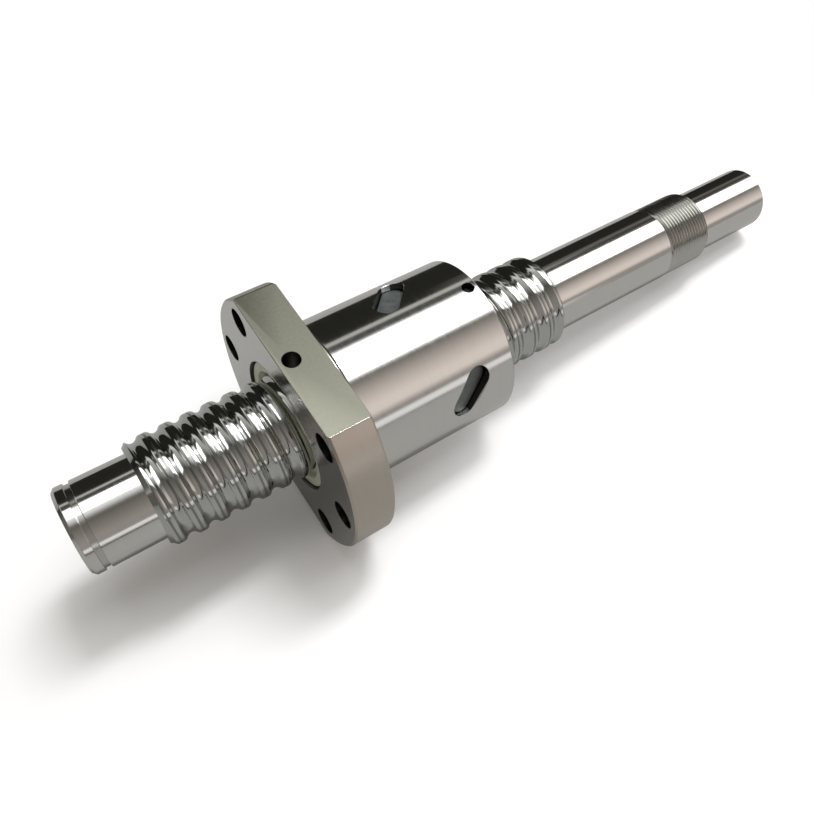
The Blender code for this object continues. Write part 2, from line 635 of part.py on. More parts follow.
def make_balls(circuit, material):
    """Balls of one full circuit, fused at the points where neighbours touch.

    The string is skinned round the closed loop: between two touching points the ring radius
    follows the ball's own circle.
    """
    turns = np.linspace(-180, 180, LOOP_STEPS + 1)
    path = np.array([loop_point(circuit, turn) for turn in turns])
    travel = np.concatenate(([0.0], np.cumsum(np.linalg.norm(np.diff(path, axis=0), axis=1))))
    count = int(travel[-1] / BALL_DIAMETER)
    pitch = travel[-1] / count
    stations = [(i * pitch, BALL_TOUCH_RADIUS) for i in range(count)]
    for band in (-BALL_BAND, BALL_BAND):
        stations += [((i + 0.5) * pitch + ball_radius * sin(band), ball_radius * cos(band))
                     for i in range(count)]
    stations.sort()
    centres = [loop_point(circuit, float(np.interp(place, travel, turns)))
               for place, reach in stations]
    rings = [ring_across(centre, after - before, reach, BALL_SIDES)
             for before, centre, after, (place, reach)
             in zip(centres[-1:] + centres, centres, centres[1:] + centres[:1], stations)]
    return lofted("ball_circuit_%d" % (circuit + 1), rings, material, closed=True)


def shade(item):
    """Smooth shading with crisp edges where the surface turns sharply."""
    item.data.shade_smooth()
    item.data.set_sharp_from_angle(angle=radians(SHARP_ANGLE))


def main():
    clear_scene()
    ground_steel = make_material("ground_bearing_steel", (0.52, 0.51, 0.49), 1.0, 0.16)
    nut_steel = make_material("ground_nut_steel", (0.50, 0.49, 0.47), 1.0, 0.24)
    ball_steel = make_material("polished_ball_steel", (0.62, 0.62, 0.62), 1.0, 0.08)
    cap_metal = make_material("sintered_cap_metal", (0.20, 0.21, 0.21), 0.6, 0.50)
    wiper_plastic = make_material("cream_wiper_plastic", (0.62, 0.62, 0.47), 0.0, 0.45)
    spring_steel = make_material("spring_steel", (0.45, 0.45, 0.45), 1.0, 0.30)
    pin_steel = make_material("blackened_pin_steel", (0.06, 0.06, 0.06), 0.8, 0.45)

    make_shaft(ground_steel)
    carried = [make_nut(nut_steel),
               make_wiper("wiper_front", False, wiper_plastic),
               make_wiper("wiper_rear", True, wiper_plastic),
               make_pin("wiper_pin_front", False, pin_steel),
               make_pin("wiper_pin_rear", True, pin_steel)]
    carried += [make_cap(circuit, cap_metal) for circuit in range(CIRCUITS)]
    carried += [make_balls(circuit, ball_steel) for circuit in range(CIRCUITS)]
    sliding = [make_spring("wiper_spring_front", False, spring_steel),
               make_spring("wiper_spring_rear", True, spring_steel)]

    travel = bpy.data.objects.new("nut_travel", None)
    turn = bpy.data.objects.new("nut_turn", None)
    for empty in (travel, turn):
        bpy.context.scene.collection.objects.link(empty)
    travel.location = (nut_front_x, 0, 0)
    turn.parent = travel
    for item in carried:
        item.parent = turn
    for item in sliding:
        item.parent = travel
    for item in bpy.data.objects:
        if item.type == "MESH":
            shade(item)
    bpy.context.view_layer.update()


main()
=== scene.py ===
"""Ball screw, 25 mm nominal with 5 mm lead, as it looks: ground and polished steel, cream wipers.

Every piece is a surface worked out from a formula, at the place where the packed model has it.
The screw axis is world X, lengths are in metres, and an angle about the axis is counted from +Y
towards +Z.
"""

from math import acos, asin, cos, pi, radians, sin, sqrt, tan

import bmesh
import bpy
import numpy as np
from bpy.props import FloatProperty, FloatVectorProperty, IntProperty, PointerProperty
from mathutils import Matrix, Vector


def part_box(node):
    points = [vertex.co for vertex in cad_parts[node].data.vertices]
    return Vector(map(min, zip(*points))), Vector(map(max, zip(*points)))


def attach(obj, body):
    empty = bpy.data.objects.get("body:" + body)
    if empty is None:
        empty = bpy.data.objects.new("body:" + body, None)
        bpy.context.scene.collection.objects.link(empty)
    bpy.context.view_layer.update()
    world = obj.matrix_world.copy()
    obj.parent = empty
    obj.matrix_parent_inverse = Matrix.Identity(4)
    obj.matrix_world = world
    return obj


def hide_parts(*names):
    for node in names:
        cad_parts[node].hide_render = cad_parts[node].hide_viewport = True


bl_info = {
    "name": "Ball Screw",
    "version": (1, 0, 0),
    "blender": (4, 5, 0),
    "location": "View3D > Sidebar > Ball Screw",
    "description": "Builds a ground ball screw with a flanged nut, its finishes and its stage",
    "category": "Add Mesh",
}

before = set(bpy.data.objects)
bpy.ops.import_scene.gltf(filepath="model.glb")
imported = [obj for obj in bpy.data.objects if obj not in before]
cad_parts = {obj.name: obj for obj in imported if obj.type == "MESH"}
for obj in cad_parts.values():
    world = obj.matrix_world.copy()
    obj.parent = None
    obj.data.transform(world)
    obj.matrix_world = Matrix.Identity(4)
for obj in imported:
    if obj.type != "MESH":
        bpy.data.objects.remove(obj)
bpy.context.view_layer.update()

shaft_low, shaft_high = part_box("screw_shaft")
nut_low, nut_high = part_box("nut_body")
MM = 0.001


def linear(text):
    """Linear colour of an sRGB hex value, by the standard two-part curve."""
    parts = [int(text[i:i + 2], 16) / 255 for i in (1, 3, 5)]
    return tuple(p / 12.92 if p <= 0.04045 else ((p + 0.055) / 1.055) ** 2.4 for p in parts)


def length(name, description, default):
    """A size in metres that a user may change."""
    return FloatProperty(name=name, description=description, default=default, unit="LENGTH", precision=6)


def turn(name, description, default):
    """An angle in degrees that a user may change."""
    return FloatProperty(name=name, description=description, default=default)


def count(name, description, default):
    """A whole number of steps that a user may change."""
    return IntProperty(name=name, description=description, default=default)


def colour(name, description, default):
    """A colour that a user may change, given as an sRGB hex value."""
    return FloatVectorProperty(name=name, description=description, default=linear(default),
                               subtype="COLOR", size=3, min=0, max=1)


class BallTrackSizes(bpy.types.PropertyGroup):
    """The pointed ball track, shared by the shaft, the nut, the wipers and the caps."""
    lead: length("Lead", "Advance of the track in one turn, right-handed", 5 * MM)
    land_diameter: length("Land diameter", "Shaft over its lands", 24.6 * MM)
    ball_diameter: length("Ball diameter", "One recirculating ball", 3.175 * MM)
    ball_rise: length("Ball rise", "Ball centres over the lands, on radius", 0.6 * MM)
    ball_gap: length("Ball gap", "Between a ball and its track", 0.2 * MM)
    arch_offset: length("Arch offset", "Each arc's centre off the ball's, which makes the arch", 0.15 * MM)
    land_edge: length("Land edge", "Rounding that polishing leaves on the edges of a land", 0.42 * MM)
    land_line: length("Land line", "Dull line that polishing leaves along the middle of a land", 0.5 * MM)
    polish_fit: length("Polish fit", "How much closer the shaft's track lies to the balls", 0.22 * MM)
    nut_gap: length("Nut gap", "Lands of the shaft to lands of the nut, on radius", 0.4 * MM)
    arc_steps: count("Arc steps", "Rows on each half of the shaft's track", 9)
    nut_arc_steps: count("Nut arc steps", "Rows on each half of the hidden tracks", 4)


class ShaftSizes(bpy.types.PropertyGroup):
    """The shaft from its near end to its drive end."""
    near_diameter: length("Near journal", "Journal for the support bearing", 20 * MM)
    near_length: length("Near journal length", "From the near end to the track", 16 * MM)
    ring_groove_from_end: length("Ring groove place", "Retaining-ring groove from the near end", 2.65 * MM)
    ring_groove_width: length("Ring groove width", "Retaining-ring groove", 1.35 * MM)
    ring_groove_depth: length("Ring groove depth", "Retaining-ring groove", 0.5 * MM)
    track_length: length("Track length", "Threaded length between the shoulders", 107 * MM)
    track_chamfer: length("Track chamfer", "45 degree chamfer at both ends of the track", 1.0 * MM)
    far_diameter: length("Far journal", "Journal for the fixed bearing", 20 * MM)
    far_length: length("Far journal length", "From the track to the lock-nut thread", 40 * MM)
    fine_diameter: length("Lock-nut thread", "Crests of the fine thread", 19.8 * MM)
    fine_pitch: length("Fine pitch", "Pitch of the lock-nut thread", 1 * MM)
    fine_length: length("Fine thread length", "Lock-nut thread", 14.5 * MM)
    drive_diameter: length("Drive journal", "Journal for the coupling", 17 * MM)
    end_chamfer: length("End chamfer", "At both ends of the shaft", 0.8 * MM)
    edge_break: length("Edge break", "Radius left on a turned edge", 0.08 * MM)
    centre_diameter: length("Centre hole", "Mouth of the centre hole in each end face", 5 * MM)
    centre_drill: length("Centre drill", "Drilled point behind the centre hole's cone", 2 * MM)
    centre_depth: length("Centre drill depth", "Of the drilled point behind the cone", 3 * MM)
    columns: count("Columns", "Steps round the shaft", 108)


class NutSizes(bpy.types.PropertyGroup):
    """The flanged nut, behind its front face."""
    body_diameter: length("Body diameter", "Ground body", 40 * MM)
    flange_thickness: length("Flange thickness", "Along the screw axis", 10 * MM)
    edge_chamfer: length("Edge chamfer", "On the rim and on the body's end", 0.45 * MM)
    edge_break: length("Edge break", "Radius left on a turned edge", 0.06 * MM)
    undercut_width: length("Undercut width", "Grinding relief behind the flange", 1.8 * MM)
    undercut_depth: length("Undercut depth", "Grinding relief behind the flange", 0.3 * MM)
    recess_diameter: length("Recess diameter", "Seat of a wiper", 32 * MM)
    recess_depth: length("Recess depth", "Seat of a wiper", 6.2 * MM)
    recess_chamfer: length("Recess chamfer", "Bright edge of a wiper's seat", 0.25 * MM)
    bolt_circle: length("Bolt circle", "Diameter through the six holes", 51 * MM)
    bolt_hole: length("Bolt hole", "For an M6 screw", 6.6 * MM)
    hole_break: length("Hole break", "Edge break at the mouth of a hole or slot", 0.07 * MM)
    port_diameter: length("Port diameter", "Lubrication port in the upper flat", 4.0 * MM)
    port_from_front: length("Port place", "Port behind the front face", 3.1 * MM)
    pin_hole: length("Pin hole", "For a wiper's pin", 3 * MM)
    pin_from_end: length("Pin place", "Pin hole from the nut's end", 2.6 * MM)
    columns: count("Columns", "Steps round the nut", 288)
    hole_steps: count("Hole steps", "Steps round a hole or slot", 48)


class CapSizes(bpy.types.PropertyGroup):
    """The four return caps, each in a slanted slot."""
    first_angle: turn("First angle", "Of the cap nearest the plain end", 156)
    angle_step: turn("Angle step", "To the next cap towards the flange", -90)
    step: length("Step", "Between caps along the axis", 6.25 * MM)
    slot_width: length("Slot width", "Obround slot", 6 * MM)
    slot_length: length("Slot length", "Over its round ends", 12.9 * MM)
    slant: turn("Slant", "Slot's long axis to the screw axis", 49)
    gap: length("Gap", "Cap to the walls of its slot", 0.15 * MM)
    sink: length("Sink", "Cap below the body's outside", 2.2 * MM)
    edge_round: length("Edge round", "Rounded upper edge", 0.35 * MM)
    crossover: turn("Crossover", "Half the angle over which a ball crosses the land", 17)


class WiperSizes(bpy.types.PropertyGroup):
    """A wiper with its garter spring and its pin."""
    length: length("Wiper length", "Along the screw axis", 5.18 * MM)
    set_back: length("Set back", "Wiper's face behind the nut's end face", 0.72 * MM)
    gap: length("Gap", "To the shaft and to the wall of its seat", 0.3 * MM)
    lead_in: length("Lead-in", "Cone at the mouth of the bore, along the axis and on radius", 0.9 * MM)
    groove_from_inner: length("Groove place", "Wall between spring groove and inner face", 0.3 * MM)
    groove_width: length("Groove width", "For the garter spring", 1.4 * MM)
    groove_depth: length("Groove depth", "For the garter spring", 1.5 * MM)
    coil_diameter: length("Coil diameter", "Outside of the garter spring's coil", 1.2 * MM)
    wire_diameter: length("Wire diameter", "Garter spring's wire", 0.22 * MM)
    coil_turns: count("Coil turns", "Turns of the garter spring", 220)
    pin_diameter: length("Pin diameter", "Pin in its hole", 2.6 * MM)
    pin_bite: length("Pin bite", "How deep the pin enters the wiper", 1 * MM)
    pin_sink: length("Pin sink", "Pin's head below the body's outside", 1.5 * MM)
    columns: count("Columns", "Steps round a wiper", 180)


class FinishColours(bpy.types.PropertyGroup):
    """Colours of the finishes."""
    ground: colour("Ground steel", "Journals and nut body", "#d7d6d3")
    polished: colour("Polished steel", "Ball track", "#c2c3c1")
    land: colour("Land steel", "Dull line along each land", "#8d8e8b")
    satin: colour("Satin steel", "Flats of the flange", "#77776c")
    rim: colour("Rim steel", "Rim of the flange", "#c2bab0")
    # Dark tone: painted shade in the holes, the wipers' seats and the nut's own track
    bored: colour("Bored steel", "Holes, seats and the nut's own track", "#5e5c58")
    thread: colour("Cut thread", "Lock-nut thread", "#c8c7c2")
    cap: colour("Sintered metal", "Return caps", "#8d9391")
    acetal: colour("Cream acetal", "Wipers", "#f5f6e2")
    blackened: colour("Blackened steel", "Pins", "#2b2b2c")
    wire: colour("Spring wire", "Garter springs", "#9a9a98")
    # Darker than the backdrop: painted shade where the steel reflects the table and where its light bounces
    floor: colour("Floor", "Table top as the part sees it", "#ababa9")
    backdrop: colour("Backdrop", "Table top as the camera sees it", "#fcfcfc")


class RoomTones(bpy.types.PropertyGroup):
    """Tones of the room that the steel mirrors."""
    cloth: colour("Dark cloth", "Behind the part", "#292925")
    shade: colour("Shade", "Beside the lamps", "#4a4a46")
    wall: colour("Wall", "In front, high up", "#706d67")
    front: colour("Front", "In front, low down", "#a69f9a")
    card: colour("Warm card", "In front, past the nut", "#f8ece4")
    dim: colour("Dim lamp", "Beside the lamp and at the near end", "#cfcfc9")
    lamp: colour("Lamp", "Overhead, and low in front", "#ffffff")


class StageSettings(bpy.types.PropertyGroup):
    """Camera, floor and light."""
    lens: FloatProperty(name="Lens", description="Focal length on a 36 mm sensor", default=33.74)
    roll: turn("Roll", "Camera's turn about its own line of sight", 9.05)
    floor_size: length("Floor size", "Reach of the table to the near side and the ends", 1.1)
    floor_edge: length("Floor edge", "Edge of the table beyond the part, from the origin", 0.125)
    # Painted light: the table glows past the nut, which lifts the shadows there
    floor_painted_light: FloatProperty(name="Floor glow", default=0.22,
                              description="Share of the table's light that is its own, past the nut")
    painted_light_start: length("Glow start", "How far before the nut the table's light begins", 20 * MM)
    light_height: length("Light height", "Over the part", 1.45)
    soft_start: length("Soft light start", "Along the screw axis", 0.06)
    soft_length: length("Soft light length", "Along the screw axis", 1.85)
    soft_width: length("Soft light width", "Across the screw axis", 1.04)
    soft_lean: turn("Soft light lean", "From straight up, towards +Y", 7)
    soft_power: FloatProperty(name="Soft light power", description="In watts", default=13)
    side_start: length("Side light start", "Along the screw axis", -0.24)
    side_length: length("Side light length", "Along the screw axis", 0.30)
    side_width: length("Side light width", "Across the screw axis", 0.66)
    side_lean: turn("Side light lean", "From straight up, towards +Y", 15)
    side_power: FloatProperty(name="Side light power", description="In watts", default=1.1)
    key_start: length("Key light start", "Along the screw axis", 0.25)
    key_length: length("Key light length", "Along the screw axis", 0.56)
    key_width: length("Key light width", "Across the screw axis", 0.26)
    key_lean: turn("Key light lean", "From straight up, towards +Y", 11)
    key_power: FloatProperty(name="Key light power", description="In watts", default=12)


CAMERA_PLACE = Vector((-0.0884, -0.0814, 0.15116))
CAMERA_AIM = Vector((-0.02526, -0.01003, 0.0))
ROOM_BLEND = 0.12
# tone, start and end in degrees about the axis, soft edge before and after, reach along the axis
ROOM_PARTS = (
    ("shade", 52, 106, 8, 0, -1, 1),
    ("wall", 106, 180, 2, 0, -1, 1),
    ("front", 150, 180, 40, 0, -1, 0.8),
    ("wall", 0, 180, 0, 0, -1, -0.95),
    ("wall", 36, 43, 4, 4, 0.55, 0.85),
    ("dim", 50, 72, 16, 34, -1, -0.25),
    ("lamp", 40, 49, 3, 3, -0.75, -0.25),
    ("dim", 45, 49, 2, 2, -0.15, 0.5),
    ("lamp", 64, 92, 3, 15, -0.12, 1),
    ("lamp", 62, 103, 3, 4, 0.25, 1),
    ("card", 146, 155, 40, 8, 0.25, 0.8),
    ("lamp", 169, 175, 2, 3, -0.12, 0.5),
)
CIRCUITS = 4
BOLT_ANGLES = (-45, 0, 45, 135, 180, 225)
WELD = 1e-7
SHARP_ANGLE = 30
CENTRE_CONE_ANGLE = 60
THREAD_DEPTH_TO_PITCH = 0.6134
GROUND, SATIN, FACE, BORED_PAINTED_SHADE, RIM = range(5)
JOURNAL, TRACK, CUT, LAND = range(4)


def angles_round(columns):
    """Angles of the grid's columns, from 0 to a full turn, which the weld then joins."""
    return np.linspace(0, 2 * pi, columns + 1)


def plain_rows(outline, columns):
    """Rows of a turned surface: each (x, radius) point of the outline is carried round the axis."""
    xs, radii = np.array(outline, float).T
    ones = np.ones(columns + 1)
    return np.outer(xs, ones), np.outer(radii, ones)


def rounded(corners, steps=3):
    """Outline with its corners rounded.

    Each corner is (x, radius, rounding). A rounding cuts the two sides back by its length and
    puts steps + 1 points of a quadratic arc between the two cuts. One more point close beside
    each cut keeps the arc's shading off the straight sides.
    """
    points = []
    for i, (x, r, rounding) in enumerate(corners):
        here = np.array((x, r))
        if rounding <= 0 or i in (0, len(corners) - 1):
            points.append(tuple(here))
            continue
        before, after = np.array(corners[i - 1][:2]), np.array(corners[i + 1][:2])
        back = (before - here) / np.linalg.norm(before - here) * rounding
        ahead = (after - here) / np.linalg.norm(after - here) * rounding
        share = np.linspace(0, 1, steps + 1)[:, None]
        arc = here + (1 - share) ** 2 * back + share ** 2 * ahead
        points += [tuple(point) for point in (here + 1.3 * back, *arc, here + 1.3 * ahead)]
    return points


def arch_half(track, land_radius, outward, gap, steps, edge):
    """Half outline of the pointed track, from its apex to the middle of the land.

    The track is an arc about a centre that lies the arch offset off the ball's centre. The land is
    a straight line at the land radius, and a quadratic arc rounds the edge between the two.
    """
    side = 1 if outward else -1
    centre = track.land_diameter / 2 + track.ball_rise - side * track.arch_offset
    radius = track.ball_diameter / 2 + track.ball_gap + track.arch_offset * sqrt(2) - gap
    start = asin(track.arch_offset / radius)
    end = acos(side * (land_radius - centre) / radius)
    turns = np.linspace(start, end, 8 * steps + 1)
    arc = np.stack([radius * np.sin(turns) - track.arch_offset, centre + side * radius * np.cos(turns)], 1)
    corner = arc[-1]
    middle = [[(track.lead - track.land_line) / 2, land_radius], [track.lead / 2, land_radius]]
    if edge <= 0:
        return np.vstack([arc[::8], middle])
    away_from_corner = np.linalg.norm(arc - corner, axis=1)
    kept = arc[away_from_corner >= edge][::8]
    cut = arc[np.argmin(np.abs(away_from_corner - edge))]
    away = corner + np.array((edge, 0))
    share = np.linspace(0, 1, 5)[:, None]
    fillet = (1 - share) ** 2 * cut + 2 * share * (1 - share) * corner + share ** 2 * away
    return np.vstack([kept[:-1], fillet, middle])


def track_section(track, land_radius, outward=False, gap=0.0, steps=9, edge=0.0):
    """Outline of one whole lead as (offsets, radii), from middle of land to middle of land."""
    half = arch_half(track, land_radius, outward, gap, steps, edge)
    whole = np.vstack([half[:0:-1] * (-1, 1), half])
    return whole[:, 0] + track.lead / 2, whole[:, 1]


def track_start(track, caps):
    """Place on the axis of the shaft's land that is nearest the last cap, at angle zero."""
    last_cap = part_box("return_cap_1")
    middle = (last_cap[0].x + last_cap[1].x) / 2
    return middle - track.lead * caps.first_angle / 360


def helix_radius(xs, angles, section, lead, start):
    """Radius of a threaded surface: the section's radius at (x - start - lead * turns) mod lead."""
    along = np.mod(xs - start - lead * angles / (2 * pi), lead)
    return np.interp(along, section[0], section[1])


def threaded_rows(section, lead, start, low, high, columns):
    """Rows of a threaded surface between two planes across the axis.

    Row u lies at x = start + offset(u) + lead * turns, so each row runs along the helix. Where a
    row leaves the space between the planes it is held at the plane, at the radius that the
    thread has there, and the weld closes the rows that fall together.
    """
    angles = angles_round(columns)
    first = int(np.floor((low - start) / lead)) - 1
    last = int(np.ceil((high - start) / lead)) + 1
    offsets = (np.arange(first, last)[:, None] * lead + section[0][None, :-1]).ravel()
    xs = np.clip(start + offsets[:, None] + lead * angles[None, :] / (2 * pi), low, high)
    return xs, helix_radius(xs, angles[None, :], section, lead, start)


def chamfered_rows(section, lead, start, stations, end_x, end_radius, columns):
    """Rows at fixed places near a thread's end: the smaller radius of the thread and a 45 degree cone."""
    angles = angles_round(columns)
    xs = np.outer(stations, np.ones(columns + 1))
    radii = helix_radius(xs, angles[None, :], section, lead, start)
    return xs, np.minimum(radii, end_radius + np.abs(xs - end_x))


def grid_points(blocks):
    """World points of stacked (x, radius) rows: (x, radius * cos(angle), radius * sin(angle))."""
    xs = np.vstack([block[0] for block in blocks])
    radii = np.vstack([block[1] for block in blocks])
    angles = angles_round(xs.shape[1] - 1)[None, :]
    return np.stack([xs, radii * np.cos(angles), radii * np.sin(angles)], 2)


def grid_faces(rows, columns, closed=False):
    """Quads between neighbouring points of a grid, whose last row may join its first."""
    lower = np.arange(rows if closed else rows - 1)[:, None]
    upper = (lower + 1) % rows
    left = np.arange(columns - 1)[None, :]
    quads = np.stack([lower * columns + left, lower * columns + left + 1,
                      upper * columns + left + 1, upper * columns + left], 2)
    return quads.reshape(-1, 4)


def make_piece(name, points, faces, sharp=SHARP_ANGLE):
    """Mesh object from points and faces: welded, with faces outwards, and smooth but for sharp edges."""
    mesh = bpy.data.meshes.new(name)
    mesh.from_pydata(points.reshape(-1, 3), [], faces.tolist() if hasattr(faces, "tolist") else faces)
    builder = bmesh.new()
    builder.from_mesh(mesh)
    bmesh.ops.remove_doubles(builder, verts=builder.verts, dist=WELD)
    bmesh.ops.recalc_face_normals(builder, faces=builder.faces)
    builder.to_mesh(mesh)
    builder.free()
    mesh.shade_smooth()
    mesh.set_sharp_from_angle(angle=radians(sharp))
    piece = bpy.data.objects.new(name, mesh)
    bpy.context.scene.collection.objects.link(piece)
    return piece


def turned_piece(name, blocks, closed=False):
    """Piece from stacked rows about the screw axis."""
    points = grid_points(blocks)
    return make_piece(name, points, grid_faces(points.shape[0], points.shape[1], closed))


def skinned_piece(name, rings, ends=True):
    """Piece from rings of points, each ring closed on itself, with a flat face at either end."""
    rings = np.asarray(rings, float)
    total, size = rings.shape[:2]
    ring = np.arange(total - 1)[:, None]
    left = np.arange(size)[None, :]
    right = (left + 1) % size
    quads = np.stack([ring * size + left, ring * size + right,
                      (ring + 1) * size + right, (ring + 1) * size + left], 2).reshape(-1, 4)
    faces = quads.tolist()
    if ends:
        faces += [list(range(size)), list(range((total - 1) * size, total * size))]
    return make_piece(name, rings, faces)


def joined(pieces):
    """All pieces as one object, the first of them."""
    with bpy.context.temp_override(active_object=pieces[0], selected_editable_objects=pieces):
        bpy.ops.object.join()
    return pieces[0]


def cut(piece, cutters):
    """Take the cutters out of the piece with one exact Boolean, and remove them."""
    cutter = joined(cutters)
    modifier = piece.modifiers.new("Cut", "BOOLEAN")
    modifier.object = cutter
    modifier.solver = "EXACT"
    bpy.context.view_layer.update()
    evaluated = piece.evaluated_get(bpy.context.evaluated_depsgraph_get())
    mesh = bpy.data.meshes.new_from_object(evaluated)
    piece.modifiers.clear()
    piece.data = mesh
    bpy.data.objects.remove(cutter)
    mesh.shade_smooth()
    mesh.set_sharp_from_angle(angle=radians(SHARP_ANGLE))


def standing(x, angle, u, v, height):
    """World points of a body that stands on the axis: u along it, v across it, height out from it."""
    turned = radians(angle)
    u, v, height = np.broadcast_arrays(u, v, height)
    return np.stack([x + u, height * cos(turned) - v * sin(turned),
                     height * sin(turned) + v * cos(turned)], -1)


def circle(radius, steps):
    """Points round a circle: (radius * cos(turn), radius * sin(turn)) at half steps."""
    turns = 2 * pi * (np.arange(steps) + 0.5) / steps
    return radius * np.cos(turns), radius * np.sin(turns)


def obround(width, size, slant, steps):
    """Points round a slot with round ends: a circle whose halves are pushed apart, then turned."""
    turns = 2 * pi * (np.arange(steps) + 0.5) / steps
    u = width / 2 * np.cos(turns) + (size - width) / 2 * np.sign(np.cos(turns))
    v = width / 2 * np.sin(turns)
    lean = -radians(slant)
    return u * cos(lean) - v * sin(lean), u * sin(lean) + v * cos(lean)


def on_cylinder(radius, v):
    """Height at which a line across the axis by v meets a cylinder about it."""
    return np.sqrt(radius ** 2 - v ** 2)


def mouth_cutter(name, x, angle, outline, depth, surface_radius, edge, flat=None):
    """Cutter for a hole or slot that stands on the axis, with an edge break that follows its mouth.

    outline(grow) gives the hole's points, grown by a length. The rings lie at the floor, at the
    foot of the edge break, past the surface by as much as the break, and well outside.
    """
    def height(radius, v):
        return np.full_like(v, radius) if flat else on_cylinder(radius, v)

    outside = 2 * MM
    rings = []
    u, v = outline(0)
    rings.append(standing(x, angle, u, v, np.full_like(v, depth)))
    rings.append(standing(x, angle, u, v, height(surface_radius - edge, v)))
    u, v = outline(2 * edge)
    rings.append(standing(x, angle, u, v, height(surface_radius + edge, v)))
    rings.append(standing(x, angle, u, v, height(surface_radius + edge, v) + outside))
    return skinned_piece(name, rings)


def add_node(tree, kind, inputs=None, **settings):
    """Add a node with its settings, and fill its inputs with values or links."""
    made = tree.nodes.new(kind)
    for name, value in settings.items():
        setattr(made, name, value)
    for name, value in (inputs or {}).items():
        if isinstance(value, bpy.types.NodeSocket):
            tree.links.new(value, made.inputs[name])
        else:
            made.inputs[name].default_value = value
    return made


def new_material(name):
    """Empty node material, its node tree and its output."""
    material = bpy.data.materials.new(name)
    material.use_nodes = True
    tree = material.node_tree
    tree.nodes.clear()
    return material, tree, add_node(tree, "ShaderNodeOutputMaterial")


def lay_noise(tree, pitch, detail=3.0):
    """Noise on Object coordinates whose grain has the three given lengths in metres along X, Y and Z."""
    place = add_node(tree, "ShaderNodeTexCoord").outputs["Object"]
    scaled = add_node(tree, "ShaderNodeMapping", {"Vector": place, "Scale": [1 / p for p in pitch]})
    return add_node(tree, "ShaderNodeTexNoise",
                    {"Vector": scaled.outputs[0], "Scale": 1.0, "Detail": detail}).outputs[0]


def spread(tree, value, low, high, start=0.3, end=0.7):
    """Map a noise value onto a range."""
    return add_node(tree, "ShaderNodeMapRange", {"Value": value, "From Min": start, "From Max": end,
                                                 "To Min": low, "To Max": high}).outputs[0]


def metal(name, tone, roughness, lines, grain=None, depth=0.002 * MM, shade=0.12, anisotropic=0.0):
    """Metal whose roughness, shade and relief follow the lay that its machining left.

    lines are the lengths of one machining mark along X, Y and Z, and grain those of the slower
    variation across the surface. roughness is its lowest and highest value.
    """
    material, tree, output = new_material(name)
    fine = lay_noise(tree, lines)
    slow = lay_noise(tree, grain or (6 * MM, 6 * MM, 6 * MM), 2.0)
    mixed = add_node(tree, "ShaderNodeMath", {0: fine, 1: slow}, operation="ADD").outputs[0]
    half = add_node(tree, "ShaderNodeMath", {0: mixed, 1: 0.5}, operation="MULTIPLY").outputs[0]
    dark = tuple(part * (1 - shade) for part in tone)
    tint = add_node(tree, "ShaderNodeMix", {0: spread(tree, half, 0, 1), 6: (*dark, 1), 7: (*tone, 1)},
                    data_type="RGBA").outputs[2]
    bump = add_node(tree, "ShaderNodeBump", {"Height": fine, "Strength": 1.0, "Distance": depth})
    shader = add_node(tree, "ShaderNodeBsdfPrincipled", {
        "Base Color": tint, "Metallic": 1.0, "Roughness": spread(tree, half, *roughness),
        "Normal": bump.outputs[0], "Anisotropic": anisotropic})
    if anisotropic:
        round_axis = add_node(tree, "ShaderNodeTangent", direction_type="RADIAL", axis="X")
        tree.links.new(round_axis.outputs[0], shader.inputs["Tangent"])
    tree.links.new(shader.outputs[0], output.inputs[0])
    return material


def ground_steel(colours):
    """Bearing steel, hardened and ground between centres: bright, with fine rings round the axis."""
    return metal("cylindrically_ground_bearing_steel", colours.ground, (0.08, 0.13),
                 (0.12 * MM, 9 * MM, 9 * MM), (0.7 * MM, 30 * MM, 30 * MM), 0.0004 * MM, 0.05, 0.2)


def polished_steel(colours):
    """Bearing steel, ground and then polished by lapping: mirror-like, with faint haze."""
    return metal("lapped_bearing_steel_track", colours.polished, (0.05, 0.12),
                 (0.35 * MM, 7 * MM, 7 * MM), (4 * MM, 4 * MM, 4 * MM), 0.0015 * MM, 0.1)


def land_steel(colours):
    """Hardened skin left in a line along each land: duller and darker than the polished track."""
    return metal("hardened_land_steel", colours.land, (0.20, 0.32),
                 (0.2 * MM, 2 * MM, 2 * MM), (3 * MM, 3 * MM, 3 * MM), 0.001 * MM, 0.15)


def face_ground_steel(colours):
    """Bearing steel, surface ground on its face: bright, and it shows the screw in front, blurred."""
    return metal("face_ground_bearing_steel", colours.ground, (0.14, 0.22),
                 (3 * MM, 0.4 * MM, 5 * MM), (9 * MM, 9 * MM, 9 * MM), 0.0003 * MM, 0.08)


def satin_steel(colours):
    """Hardened steel, milled and then blasted: an even satin that blurs every reflection."""
    return metal("blasted_flange_steel", colours.satin, (0.44, 0.58),
                 (0.25 * MM, 0.25 * MM, 0.25 * MM), (0.6 * MM, 0.6 * MM, 0.6 * MM), 0.012 * MM, 0.3)


def rim_steel(colours):
    """Hardened steel, turned: rings round the axis that draw every reflection out across them."""
    return metal("turned_flange_rim_steel", colours.rim, (0.30, 0.38),
                 (0.15 * MM, 5 * MM, 5 * MM), (1 * MM, 4 * MM, 4 * MM), 0.001 * MM, 0.08)


def cut_steel(colours):
    """Steel thread as the die or the grinding wheel leaves it: duller flanks, fine marks along them."""
    return metal("cut_thread_steel", colours.thread, (0.13, 0.22),
                 (0.1 * MM, 4 * MM, 4 * MM), (2 * MM, 2 * MM, 2 * MM), 0.001 * MM, 0.12)


def bored_steel_painted_shade(colours):
    """Steel as drilled and bored: dull, with rings that glint down the hole, its tone darkened as painted
    shade in holes and seats.
    """
    return metal("bored_steel_painted_shade", colours.bored, (0.22, 0.40),
                 (0.3 * MM, 5 * MM, 5 * MM), (3 * MM, 3 * MM, 3 * MM), 0.004 * MM, 0.3)


